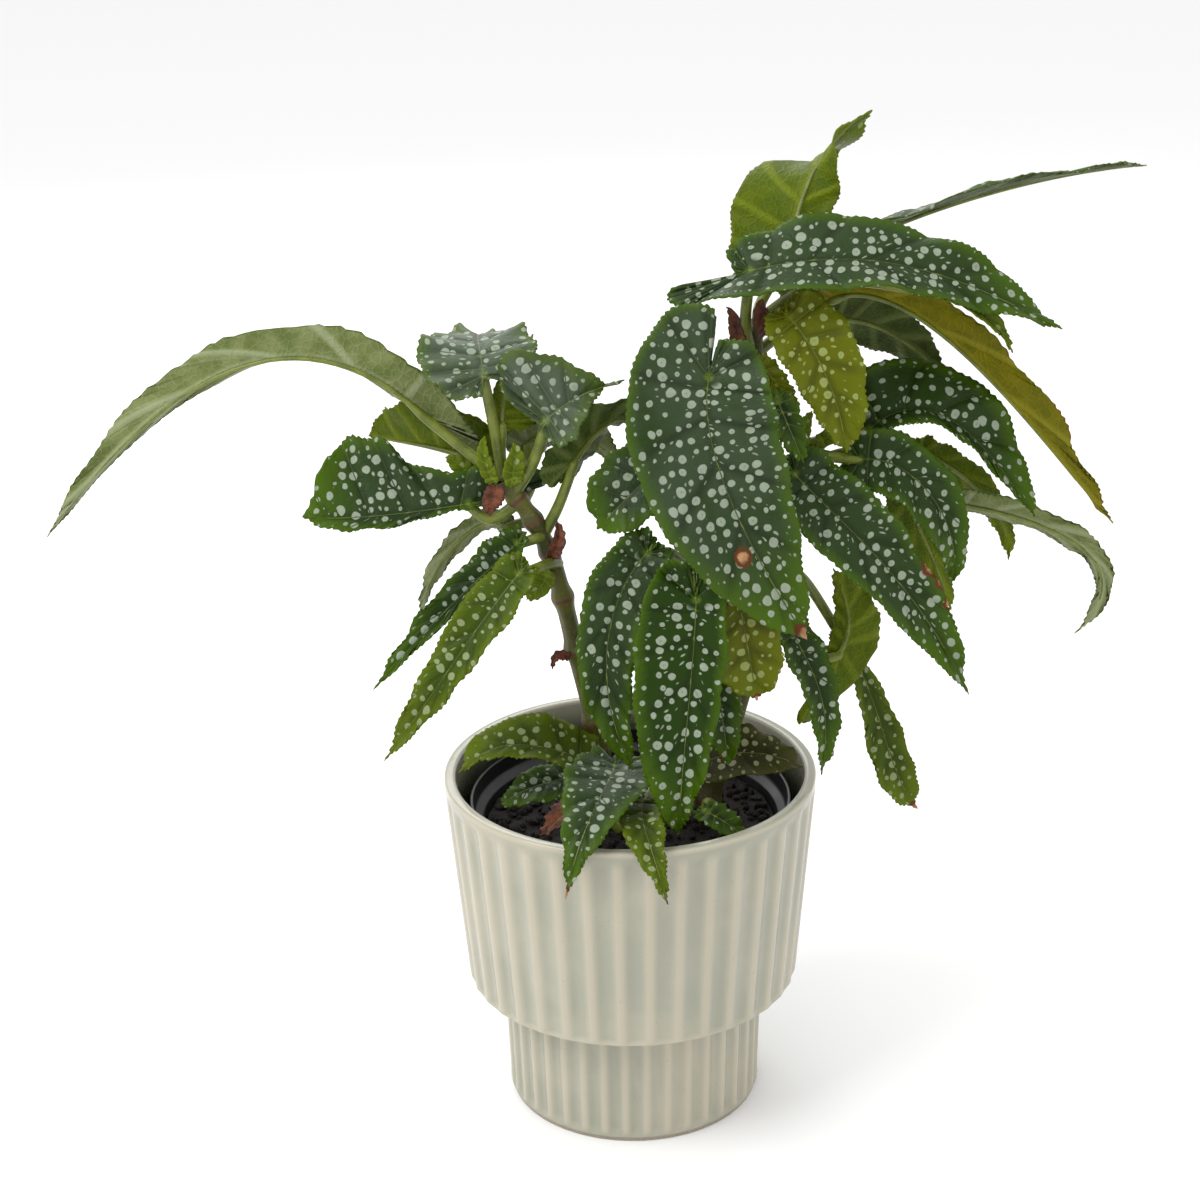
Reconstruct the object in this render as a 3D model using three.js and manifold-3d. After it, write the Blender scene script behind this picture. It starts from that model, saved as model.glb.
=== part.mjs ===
// Potted begonia: a ribbed two-step ceramic pot, the black nursery pot inside it, the soil,
// three canes and every leaf with its own stalk. Millimetres, +Z up.
// The origin is the middle of the pot's flat underside.
import * as THREE from 'three';
import { mergeVertices } from 'three/addons/utils/BufferGeometryUtils.js';
import Module from 'manifold-3d';

const wasm = await Module();
wasm.setup();

// ---- driving dimensions -------------------------------------------------------------------
const RIM_RADIUS = 72.5;
const POT_HEIGHT = 138.5;
const STEP_HEIGHT = 52.5;
const CUP_FOOT_RADIUS = 65.5;
const FOOT_TOP_RADIUS = 52;
const FOOT_BASE_RADIUS = 50.5;
const WALL = 4.5;
const LIP_ROUND = 1.6;
const STEP_ROUND = 1;
const RIB_COUNT = 38;
const RIB_HEIGHT = 0.7;
const RIB_MARGIN = 0.1;
const FLOOR_THICKNESS = 6;
const UNGLAZED_INSET = 0.8;
const UNGLAZED_HEIGHT = 1.4;

const NURSERY_TOP = 127;
const NURSERY_TOP_RADIUS = 63;
const NURSERY_NECK_RADIUS = 59;
const NURSERY_BASE_RADIUS = 40;
const NURSERY_WALL = 1.2;
const NURSERY_BAND = 8;

const SOIL_TOP = 117;
const ROOTED_DEPTH = 40;
const GAP = 0.3;
const NURSERY_BOTTOM = FLOOR_THICKNESS + GAP;

const BLADE_THICKNESS = 0.9;
const STALK_RADIUS = 2.1;
const CANE_RADIUS = 3.7;
const BLADE_ROWS = 8;
const BLADE_COLUMNS = 2;
const FOLD_ROUND = 3;
const CANE_SIDES = 10;
const CANE_STEPS = 14;
const STALK_SIDES = 5;
const STALK_STEPS = 3;
const NURSERY_SIDES = 48;

// ---- colours ------------------------------------------------------------------------------
const GLAZE = { color: 0xc2c3b4, roughness: 0.25, metalness: 0 };
const BLACK_PLASTIC = { color: 0x17181a, roughness: 0.5, metalness: 0 };
const POTTING_SOIL = { color: 0x1d1814, roughness: 1, metalness: 0 };
const CANE_SKIN = { color: 0x6b7038, roughness: 0.55, metalness: 0 };
const DRY_SCALE = { color: 0x6e3f22, roughness: 0.8, metalness: 0 };
const TINTS = {
  dark: { color: 0x24401f, roughness: 0.4, metalness: 0 },
  grey: { color: 0x4b6155, roughness: 0.4, metalness: 0 },
  olive: { color: 0x767a1c, roughness: 0.45, metalness: 0 },
  lime: { color: 0x7f9229, roughness: 0.5, metalness: 0 },
  pale: { color: 0x8ea26e, roughness: 0.5, metalness: 0 },
  dry: { color: 0x7d4a2c, roughness: 0.8, metalness: 0 },
};

// ---- canes --------------------------------------------------------------------------------
const ROOT = SOIL_TOP - ROOTED_DEPTH;
const CANES = {
  cane_left: [
    [-6, 5, ROOT], [-8, 4, 120], [-14, 2, 160], [-20, -2, 190],
    [-24, -4, 210], [-29, -6, 231], [-37, -7, 248], [-46, -8, 260],
  ],
  cane_right: [[11, 8, ROOT], [14, 8, 120], [24, 8, 180], [38, 6, 248], [46, 4, 296], [49, 3, 316]],
  cane_front: [[22, -3, ROOT], [30, -2, 120], [46, 0, 178], [60, 2, 232], [68, 2, 270]],
};

// ---- leaves -------------------------------------------------------------------------------
// midrib: four points on the midrib, from the stalk's end to the tip.
// half: widths of the blade left and right of the midrib, looking from above towards the tip.
// lobe: how far the two ears reach back past the stalk.
// face: the way that the upper side looks at the stalk, and faceTip the same at the tip.
// fold: degrees by which each half rises from the midrib.
// belly: how much of the width moves from the stalk's end towards the tip, 0 where it is left out.
// stalk: points from the cane to the blade, before the midrib's first point.
const LEAVES = {
  leaf_left_1: {
    midrib: [[-73, 0, 283], [-122, 2, 306], [-172, 6, 285], [-220, 10, 235]],
    half: [12, 11], lobe: [24, 6], face: [0, 1, 0.25], fold: [20, 55], tint: 'pale',
    stalk: [[-46, -8, 261], [-59, -4, 271]],
  },
  leaf_left_2: {
    midrib: [[-62, 14, 264], [-75, 19, 266], [-87, 26, 266], [-98, 32, 266]],
    half: [19, 8], lobe: [15, 6], face: [0, 1, 0.3], fold: [5, 50], tint: 'lime',
    stalk: [[-45, -7, 258], [-54, 4, 260]],
  },
  leaf_left_3: {
    midrib: [[-58, -12, 253], [-78, -17, 252], [-98, -19, 251], [-119, -18, 251]],
    half: [5, 26], lobe: [6, 32], face: [0, -0.7, 0.7], fold: [8, 14], belly: 1.5, tint: 'dark',
    stalk: [[-39, -7, 252], [-50, -10, 246]],
  },
  leaf_left_4: {
    midrib: [[-51, -12, 302], [-53, 4, 309], [-54, 22, 308], [-53, 40, 302]],
    half: [21, 19], lobe: [9, 3], face: [0, -0.6, 0.8], fold: [6, 6], belly: -0.3, tint: 'grey',
    stalk: [[-45, -8, 261], [-48, -9, 282]],
  },
  leaf_left_5: {
    midrib: [[-45, -6, 281], [-44, -4, 290], [-40, 0, 301], [-33, 6, 312]],
    half: [12, 5], lobe: [2, 2], face: [0, 1, 0.1], fold: [10, 25], belly: -1, tint: 'lime',
    stalk: [[-45, -8, 262], [-46, -8, 270]],
  },
  leaf_left_6: {
    midrib: [[-29, -18, 286], [-21, -20, 293], [-12, -18, 297], [0, -12, 299]],
    half: [20, 9], lobe: [4, 4], face: [0, -0.9, 0.35], fold: [10, 10], belly: -1.3, tint: 'grey',
    stalk: [[-41, -8, 256], [-34, -12, 268]],
  },
  leaf_left_7: {
    midrib: [[-20, -6, 266], [-12, -2, 275], [-3, 2, 280], [7, 6, 275]],
    half: [8, 12], lobe: [8, 12], face: [0, 0.8, 0.6], fold: [15, 15], tint: 'olive',
    stalk: [[-31, -6, 238], [-25, -7, 250]],
  },
  leaf_left_8: {
    midrib: [[-38, 10, 268], [-27, 16, 271], [-14, 20, 267], [-3, 22, 257]],
    half: [10, 12], lobe: [6, 6], face: [0, 0.9, 0.4], fold: [10, 10], tint: 'pale',
    stalk: [[-39, -6, 250], [-35, 5, 256]],
  },
  leaf_left_9: {
    midrib: [[-41, -12, 237], [-54, -13, 225], [-73, -15, 207], [-97, -15, 180]],
    half: [6, 8], lobe: [4, 5], face: [-0.3, -0.7, 0.6], fold: [15, 20], tint: 'dark',
    stalk: [[-31, -6, 238], [-34, -10, 238]],
  },
  leaf_left_10: {
    midrib: [[-40, -28, 231], [-55, -37, 214], [-71, -41, 192], [-92, -38, 161]],
    half: [9, 10], lobe: [5, 6], face: [-0.3, -0.8, 0.5], fold: [12, 12], tint: 'dark',
    stalk: [[-26, -5, 226], [-29, -13, 229]],
  },
  leaf_left_11: {
    midrib: [[-45, 6, 237], [-57, 10, 236], [-71, 12, 221], [-80, 12, 200]],
    half: [5, 5], lobe: [3, 3], face: [-0.2, 1, 0.3], fold: [15, 15], tint: 'pale',
    stalk: [[-29, -6, 234], [-36, 4, 239]],
  },
  leaf_right_1: {
    midrib: [[59, 20, 332], [66, 29, 352], [75, 36, 369], [93, 36, 386]],
    half: [13, 25], lobe: [6, 10], face: [0, 1, 0], faceTip: [1.6, -0.9, 0.3],
    fold: [8, 8], belly: 0.3, tint: 'lime',
    stalk: [[49, 3, 316], [51, 14, 320]],
  },
  leaf_right_2: {
    midrib: [[45, -10, 338], [84, -17, 343], [119, -20, 335], [156, -20, 317]],
    half: [18, 15], lobe: [6, 30], face: [0, -0.6, 0.8], fold: [6, 10], tint: 'grey',
    stalk: [[47, 4, 302], [44, -6, 318]],
  },
  leaf_right_3: {
    midrib: [[86, 32, 338], [120, 40, 349], [160, 44, 358], [197, 44, 362]],
    half: [11, 11], lobe: [4, 4], face: [0, 0.24, 0.97], fold: [12, 12], tint: 'grey',
    stalk: [[49, 3, 312], [70, 12, 322]],
  },
  leaf_right_4: {
    midrib: [[76, -1, 326], [112, 4, 314], [150, 4, 276], [183, 0, 236]],
    half: [16, 14], lobe: [6, 6], face: [0.6, 0, 0.8], fold: [25, 62], tint: 'olive',
    stalk: [[49, 3, 312], [62, 2, 321]],
  },
  leaf_right_5: {
    midrib: [[78, 18, 312], [92, 24, 309], [107, 28, 300], [122, 30, 286]],
    half: [12, 12], lobe: [6, 6], face: [0, 0.9, 0.4], fold: [8, 8], tint: 'grey',
    stalk: [[47, 4, 302], [60, 12, 309]],
  },
  leaf_right_6: {
    midrib: [[59, -14, 322], [69, -20, 308], [76, -22, 291], [80, -20, 272]],
    half: [15, 12], lobe: [5, 5], face: [0, -0.9, 0.4], fold: [10, 10], tint: 'olive',
    stalk: [[49, 3, 311], [54, -6, 318]],
  },
  leaf_right_7: {
    midrib: [[49, -8, 303], [53, -11, 299], [58, -13, 293], [63, -14, 287]],
    half: [5, 5], lobe: [2, 2], face: [-0.3, -0.8, 0.5], fold: [20, 20], tint: 'olive',
    stalk: [[46, 4, 297], [47, -2, 301]],
  },
  leaf_right_8: {
    midrib: [[90, -1, 275], [113, -2, 282], [134, -2, 266], [153, -2, 240]],
    half: [20, 7], lobe: [5, 3], face: [0.2, -0.7, 0.7], fold: [8, 20], tint: 'dark',
    stalk: [[68, 2, 269], [79, 0, 272]],
  },
  leaf_right_9: {
    midrib: [[86, -12, 267], [104, -15, 262], [118, -15, 243], [121, -13, 218]],
    half: [12, 14], lobe: [4, 8], face: [0.3, -0.8, 0.5], fold: [12, 12], tint: 'dark',
    stalk: [[67, 2, 266], [76, -8, 267]],
  },
  leaf_right_10: {
    midrib: [[125, 16, 240], [157, 20, 230], [183, 22, 211], [175, 20, 183]],
    half: [6, 7], lobe: [4, 4], face: [0.5, 0.8, 0.3], fold: [15, 15], tint: 'pale',
    stalk: [[66, 2, 260], [94, 12, 262]],
  },
  leaf_right_11: {
    midrib: [[114, 34, 256], [130, 37, 245], [145, 38, 229], [151, 37, 208]],
    half: [7, 7], lobe: [3, 3], face: [0.2, 0.9, 0.3], fold: [12, 12], tint: 'lime',
    stalk: [[67, 2, 264], [90, 24, 270]],
  },
  leaf_right_12: {
    midrib: [[103, 2, 253], [109, 3, 238], [117, 4, 220], [124, 4, 200]],
    half: [8, 8], lobe: [4, 4], face: [0, 1, 0.2], fold: [10, 10], tint: 'lime',
    stalk: [[65, 2, 256], [82, 4, 256]],
  },
  leaf_right_13: {
    midrib: [[29, -42, 308], [31, -48, 281], [44, -50, 248], [64, -48, 211]],
    half: [24, 29], lobe: [14, 24], face: [0, -0.85, 0.5], fold: [8, 8], tint: 'dark',
    stalk: [[45, 4, 292], [40, -16, 302]],
  },
  leaf_right_14: {
    midrib: [[15, -20, 272], [8, -24, 266], [-2, -27, 257], [-11, -26, 247]],
    half: [12, 16], lobe: [4, 4], face: [-0.2, -0.9, 0.4], fold: [8, 8], belly: 0.6, tint: 'dark',
    stalk: [[39, 6, 256], [30, -10, 274]],
  },
  leaf_right_15: {
    midrib: [[61, -24, 266], [82, -33, 246], [104, -35, 220], [126, -32, 181]],
    half: [15, 15], lobe: [7, 7], face: [0.2, -0.8, 0.5], fold: [10, 10], tint: 'dark',
    stalk: [[66, 2, 261], [64, -12, 266]],
  },
  leaf_right_16: {
    midrib: [[54, -30, 296], [57, -34, 289], [60, -36, 282], [63, -36, 274]],
    half: [6, 6], lobe: [3, 3], face: [0.2, -0.9, 0.4], fold: [10, 10], tint: 'dark',
    stalk: [[44, 5, 284], [50, -18, 292]],
  },
  leaf_right_17: {
    midrib: [[88, 18, 177], [98, 16, 153], [105, 14, 131], [115, 14, 111]],
    half: [7, 8], lobe: [4, 4], face: [0.2, -0.9, 0.3], fold: [10, 10], belly: 1.2, tint: 'dark',
    stalk: [[58, 2, 222], [70, 14, 208]],
  },
  leaf_right_18: {
    midrib: [[81, 6, 182], [85, 8, 192], [84, 10, 203], [79, 11, 216]],
    half: [13, 6], lobe: [30, 5], face: [0, 1, -0.1], fold: [10, 10], tint: 'lime',
    stalk: [[53, 1, 206], [66, 2, 182]],
  },
  leaf_right_19: {
    midrib: [[60, -24, 206], [68, -27, 190], [73, -29, 172], [72, -28, 147]],
    half: [8, 8], lobe: [6, 6], face: [0.3, -0.8, 0.5], fold: [12, 12], tint: 'dark',
    stalk: [[50, 0, 194], [54, -13, 204]],
  },
  leaf_right_20: {
    midrib: [[38, -36, 234], [41, -38, 218], [44, -38, 200], [47, -36, 182]],
    half: [12, 13], lobe: [4, 4], face: [0, -0.9, 0.4], fold: [6, 6], belly: 1, tint: 'olive',
    stalk: [[35, 6, 234], [37, -18, 238]],
  },
  leaf_right_21: {
    midrib: [[105, -18, 333], [119, -19, 328], [131, -19, 320], [139, -18, 308]],
    half: [4, 3], lobe: [2, 2], face: [0, -0.6, 0.8], fold: [15, 15], tint: 'lime',
    stalk: [[49, 3, 316], [72, -12, 334]],
  },
  leaf_front_1: {
    midrib: [[24, -50, 228], [22, -55, 201], [19, -57, 169], [17, -54, 136]],
    half: [12, 21], lobe: [10, 14], face: [0, -0.95, 0.3], fold: [14, 6], tint: 'dark',
    stalk: [[30, 7, 212], [27, -28, 232]],
  },
  leaf_front_2: {
    midrib: [[7, -33, 240], [-6, -38, 217], [-8, -40, 187], [1, -40, 156]],
    half: [12, 12], lobe: [6, 6], face: [-0.2, -0.9, 0.3], fold: [8, 10], tint: 'dark',
    stalk: [[28, 7, 205], [18, -16, 232]],
  },
  leaf_front_3: {
    midrib: [[32, -16, 192], [34, -19, 176], [36, -21, 161], [37, -21, 148]],
    half: [8, 8], lobe: [4, 4], face: [0, -0.9, 0.4], fold: [10, 10], tint: 'dark',
    stalk: [[23, 8, 172], [28, -6, 188]],
  },
  leaf_low_1: {
    midrib: [[-17, -10, 147], [-33, -13, 154], [-50, -14, 155], [-66, -12, 143]],
    half: [7, 14], lobe: [4, 6], face: [0, -0.5, 0.86], fold: [6, 6], tint: 'dark',
    stalk: [[-10, 3, 134], [-11, -5, 143]],
  },
  leaf_low_2: {
    midrib: [[-19, -4, 137], [-31, -6, 136], [-42, -8, 133], [-51, -8, 127]],
    half: [10, 9], lobe: [4, 4], face: [0, -0.4, 0.9], fold: [4, 4], tint: 'dark',
    stalk: [[-9, 4, 122], [-12, 0, 133]],
  },
  leaf_low_3: {
    midrib: [[-18, -20, 136], [-24, -23, 132], [-29, -27, 129], [-35, -33, 126]],
    half: [5, 6], lobe: [3, 3], face: [0, -0.3, 0.95], fold: [8, 8], tint: 'dry',
    stalk: [[-4, -22, 122], [-11, -20, 131]],
  },
  leaf_low_4: {
    midrib: [[-6, -30, 154], [-11, -52, 153], [-18, -71, 146], [-25, -79, 124]],
    half: [13, 14], lobe: [8, 8], face: [0, -0.4, 0.9], fold: [6, 6], belly: -0.6, tint: 'dark',
    stalk: [[-7, 2, 138], [-7, -16, 146]],
  },
  leaf_low_5: {
    midrib: [[4, -42, 145], [4, -61, 145], [7, -77, 140], [12, -83, 123]],
    half: [7, 9], lobe: [3, 5], face: [0, -0.4, 0.9], fold: [6, 6], belly: -0.3, tint: 'dark',
    stalk: [[18, 8, 138], [11, -20, 143]],
  },
  leaf_low_6: {
    midrib: [[29, -8, 144], [41, -11, 149], [54, -11, 148], [67, -8, 141]],
    half: [12, 12], lobe: [5, 5], face: [0, -0.5, 0.86], fold: [5, 5], tint: 'olive',
    stalk: [[17, 8, 134], [22, -2, 139]],
  },
  leaf_low_7: {
    midrib: [[28, -34, 136], [34, -38, 134], [39, -40, 131], [43, -41, 128]],
    half: [6, 6], lobe: [3, 3], face: [0, -0.4, 0.9], fold: [6, 6], tint: 'dark',
    stalk: [[31, -8, 126], [29, -24, 134]],
  },
};

// The bracts at the joints of the canes: dry and brown lower down, green at the growing ends.
const SCALES = {
  scale_left_1: {
    midrib: [[-28, -12, 232], [-26, -12, 236], [-25, -11, 240], [-26, -10, 245]],
    half: [3, 3], lobe: [1, 1], face: [0.3, -0.9, 0.2], fold: [25, 25], tint: 'dry',
  },
  scale_left_2: {
    midrib: [[-23, -7, 189], [-26, -8, 190], [-28, -9, 189], [-29, -10, 185]],
    half: [2, 2], lobe: [1, 1], face: [0, -0.9, 0.4], fold: [25, 25], tint: 'dry',
  },
  scale_left_3: {
    midrib: [[-49, -13, 262], [-51, -14, 268], [-52, -15, 274], [-51, -15, 280]],
    half: [3, 3], lobe: [1, 1], face: [-0.2, -0.9, 0.2], fold: [20, 20], tint: 'lime',
  },
  scale_left_4: {
    midrib: [[-41, -13, 262], [-41, -14, 267], [-40, -15, 272], [-41, -15, 277]],
    half: [4, 4], lobe: [2, 2], face: [0.2, -0.9, 0.2], fold: [10, 10], tint: 'lime',
  },
  scale_left_5: {
    midrib: [[-55, -1, 259], [-59, -1, 262], [-63, 0, 265], [-67, 1, 267]],
    half: [4, 4], lobe: [2, 2], face: [0.1, -0.9, 0.3], fold: [12, 12], tint: 'lime',
  },
  scale_left_6: {
    midrib: [[-48, -15, 259], [-49, -16, 256], [-50, -16, 253], [-50, -15, 249]],
    half: [4, 4], lobe: [2, 2], face: [0.2, -0.9, 0.1], fold: [10, 10], tint: 'dry',
  },
  scale_left_7: {
    midrib: [[-30, -10, 224], [-32, -11, 220], [-35, -12, 217], [-38, -11, 214]],
    half: [4, 4], lobe: [1, 1], face: [0, -0.9, 0.4], fold: [20, 20], tint: 'lime',
  },
  scale_right_1: {
    midrib: [[43, -3, 309], [41, -5, 314], [40, -6, 319], [37, -6, 324]],
    half: [3, 3], lobe: [1, 1], face: [-0.3, -0.9, 0.2], fold: [20, 20], tint: 'dry',
  },
  scale_right_2: {
    midrib: [[51, -5, 313], [50, -8, 318], [49, -10, 323], [50, -11, 328]],
    half: [4, 4], lobe: [1, 1], face: [0.2, -0.9, 0.3], fold: [20, 20], tint: 'dry',
  },
  scale_right_3: {
    midrib: [[57, -2, 328], [63, -4, 333], [70, -6, 336], [78, -8, 337]],
    half: [3, 4], lobe: [1, 1], face: [0, -0.8, 0.6], fold: [20, 20], tint: 'lime',
  },
  scale_right_4: {
    midrib: [[65, -6, 270], [65, -8, 276], [66, -10, 281], [68, -12, 286]],
    half: [3, 3], lobe: [2, 2], face: [-0.2, -0.9, 0.2], fold: [10, 10], tint: 'lime',
  },
  scale_right_5: {
    midrib: [[72, -4, 272], [77, -5, 275], [82, -6, 279], [86, -6, 284]],
    half: [3, 3], lobe: [2, 2], face: [0.2, -0.9, 0.3], fold: [10, 10], tint: 'lime',
  },
};

// Outline of one half of a blade, from the stalk round the ear to the tip. The first number
// counts in ear lengths where it is negative and in blade lengths elsewhere, the second in
// half widths.
const HALF_OUTLINE = [[0, 0], [-1, 0.12], [-0.7, 0.72], [0.16, 1], [0.5, 0.92], [0.8, 0.55], [1, 0]];
// What a belly of 1 adds to the width at each of those points.
const BELLY_SHIFT = [0, 0, -0.2, -0.3, 0.1, 0.35, 0];
// The first part of the outline is fed by ribs that all start at the stalk's end. The rest of
// the ribs start along the midrib, closer together near the stalk.
const FAN_SHARE = 1 / 3;
const RIB_SPREAD = 1.6;

// ---- helpers ------------------------------------------------------------------------------
const vector = (values) => new THREE.Vector3(...values);
const clamp = (value) => Math.min(Math.max(value, 0), 1);

function solidFrom(geometry) {
  const bare = geometry.clone();
  bare.deleteAttribute('normal');
  bare.deleteAttribute('uv');
  const merged = mergeVertices(bare, 1e-4);
  const corners = merged.getIndex().array;
  const kept = [];
  for (let i = 0; i < corners.length; i += 3) {
    const [a, b, c] = corners.slice(i, i + 3);
    if (a !== b && b !== c && c !== a) kept.push(a, b, c);
  }
  const vertProperties = Float32Array.from(merged.getAttribute('position').array);
  const mesh = new wasm.Mesh({ numProp: 3, vertProperties, triVerts: Uint32Array.from(kept) });
  return new wasm.Manifold(mesh);
}

function geometryFrom(solid) {
  const mesh = solid.getMesh();
  const geometry = new THREE.BufferGeometry();
  geometry.setAttribute('position', new THREE.BufferAttribute(mesh.vertProperties, 3));
  geometry.setIndex(new THREE.BufferAttribute(mesh.triVerts, 1));
  geometry.computeVertexNormals();
  return geometry;
}

function node(name, geometry, finish) {
  const mesh = new THREE.Mesh(geometry, new THREE.MeshStandardMaterial(finish));
  mesh.name = name;
  return mesh;
}

// A round bar along a smooth curve through the given points.
function bar(points, radius, sides, steps) {
  const section = new THREE.Shape();
  for (let i = 0; i < sides; i += 1) {
    const angle = (i / sides) * 2 * Math.PI;
    const corner = [radius * Math.cos(angle), radius * Math.sin(angle)];
    if (i === 0) section.moveTo(...corner);
    else section.lineTo(...corner);
  }
  section.closePath();
  const extrudePath = new THREE.CatmullRomCurve3(points.map(vector));
  return new THREE.ExtrudeGeometry(section, { steps, extrudePath, bevelEnabled: false });
}

// ---- pot, nursery pot and soil ------------------------------------------------------------
// The lathe's sections are twice the ribs, so that every other section is the crest of a rib.
function ribbed(geometry, isRibbed) {
  const position = geometry.getAttribute('position');
  for (let i = 0; i < position.count; i += 1) {
    const x = position.getX(i);
    const y = position.getY(i);
    const z = position.getZ(i);
    const radius = Math.hypot(x, z);
    const isCrest = Math.round((Math.atan2(x, z) / Math.PI) * RIB_COUNT) % 2 === 0;
    if (!isCrest && isRibbed(radius, y)) {
      const scale = (radius - RIB_HEIGHT) / radius;
      position.setXYZ(i, x * scale, y, z * scale);
    }
  }
  return geometry;
}

function lathe(profile, segments) {
  return new THREE.LatheGeometry(profile.map(([r, h]) => new THREE.Vector2(r, h)), segments);
}

function ceramicPot() {
  const inside = RIM_RADIUS - WALL;
  const profile = [
    [0, 0],
    [FOOT_BASE_RADIUS - UNGLAZED_INSET, 0],
    [FOOT_BASE_RADIUS - UNGLAZED_INSET, UNGLAZED_HEIGHT],
    [FOOT_BASE_RADIUS, UNGLAZED_HEIGHT + UNGLAZED_INSET],
    [FOOT_TOP_RADIUS, STEP_HEIGHT - STEP_ROUND],
    [CUP_FOOT_RADIUS - STEP_ROUND, STEP_HEIGHT],
    [CUP_FOOT_RADIUS, STEP_HEIGHT + STEP_ROUND],
    [RIM_RADIUS - LIP_ROUND, POT_HEIGHT - 3 * LIP_ROUND],
    [RIM_RADIUS, POT_HEIGHT - 2 * LIP_ROUND],
    [RIM_RADIUS, POT_HEIGHT - LIP_ROUND],
    [RIM_RADIUS - LIP_ROUND, POT_HEIGHT],
    [inside + LIP_ROUND, POT_HEIGHT],
    [inside, POT_HEIGHT - LIP_ROUND],
    [CUP_FOOT_RADIUS - WALL, STEP_HEIGHT + WALL],
    [FOOT_TOP_RADIUS - WALL, STEP_HEIGHT - WALL],
    [FOOT_BASE_RADIUS - WALL, FLOOR_THICKNESS],
    [0, FLOOR_THICKNESS],
  ];
  const onOutside = (radius, height) => {
    const isFootHigh = height > UNGLAZED_HEIGHT + RIB_MARGIN && height < STEP_HEIGHT - RIB_MARGIN;
    const isFootWide = radius > FOOT_BASE_RADIUS - RIB_MARGIN && radius < FOOT_TOP_RADIUS + RIB_MARGIN;
    const isCupWide = radius > CUP_FOOT_RADIUS - RIB_MARGIN;
    const isUnderLip = height < POT_HEIGHT - 3 * LIP_ROUND - RIB_MARGIN;
    return (isFootHigh && isFootWide) || (isCupWide && isUnderLip);
  };
  return ribbed(lathe(profile, 2 * RIB_COUNT), onOutside);
}

function nurseryPot() {
  const profile = [
    [0, NURSERY_BOTTOM],
    [NURSERY_BASE_RADIUS, NURSERY_BOTTOM],
    [NURSERY_NECK_RADIUS, NURSERY_TOP - NURSERY_BAND],
    [NURSERY_TOP_RADIUS, NURSERY_TOP - NURSERY_BAND],
    [NURSERY_TOP_RADIUS, NURSERY_TOP],
    [NURSERY_TOP_RADIUS - NURSERY_WALL, NURSERY_TOP],
    [NURSERY_NECK_RADIUS - NURSERY_WALL, NURSERY_TOP - NURSERY_BAND - NURSERY_WALL],
    [NURSERY_BASE_RADIUS - NURSERY_WALL, NURSERY_BOTTOM + NURSERY_WALL],
    [0, NURSERY_BOTTOM + NURSERY_WALL],
  ];
  return lathe(profile, NURSERY_SIDES);
}

// The soil fills the nursery pot and follows the slope of its wall.
function soilBed() {
  const wallHeight = NURSERY_TOP - NURSERY_BAND - NURSERY_BOTTOM;
  const slope = (NURSERY_NECK_RADIUS - NURSERY_BASE_RADIUS) / wallHeight;
  const inset = NURSERY_WALL + 2 * GAP;
  const radiusAt = (height) => NURSERY_BASE_RADIUS + slope * (height - NURSERY_BOTTOM) - inset;
  const bottom = NURSERY_BOTTOM + NURSERY_WALL + GAP;
  const profile = [
    [0, bottom],
    [radiusAt(bottom), bottom],
    [radiusAt(SOIL_TOP), SOIL_TOP],
    [0, SOIL_TOP],
  ];
  return lathe(profile, NURSERY_SIDES);
}

// ---- leaves -------------------------------------------------------------------------------
// A smooth curve through the points of the outline, read at a share of its length.
function outlineAt(share, length, width, ear, belly) {
  const points = HALF_OUTLINE.map(([along, across], place) => [
    along * (along < 0 ? ear : length),
    (across + belly * BELLY_SHIFT[place]) * width,
  ]);
  const last = points.length - 1;
  const place = share * last;
  const index = Math.min(Math.floor(place), last - 1);
  const part = place - index;
  const before = points[Math.max(index - 1, 0)];
  const start = points[index];
  const end = points[index + 1];
  const after = points[Math.min(index + 2, last)];
  return [0, 1].map((axis) => {
    const leave = (end[axis] - before[axis]) / 2;
    const arrive = (after[axis] - start[axis]) / 2;
    const cubic = 2 * (start[axis] - end[axis]) + leave + arrive;
    const square = 3 * (end[axis] - start[axis]) - 2 * leave - arrive;
    return ((cubic * part + square) * part + leave) * part + start[axis];
  });
}

// The cubic Bezier that passes the four midrib points at 0, 1/3, 2/3 and 1 of its parameter.
function midribCurve(points) {
  const [a, b, c, d] = points.map(vector);
  const mix = (wa, wb, wc, wd) => a.clone().multiplyScalar(wa / 6).addScaledVector(b, wb / 6)
    .addScaledVector(c, wc / 6).addScaledVector(d, wd / 6);
  return new THREE.CubicBezierCurve3(a, mix(-5, 18, -9, 2), mix(2, -9, 18, -5), d);
}

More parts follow.
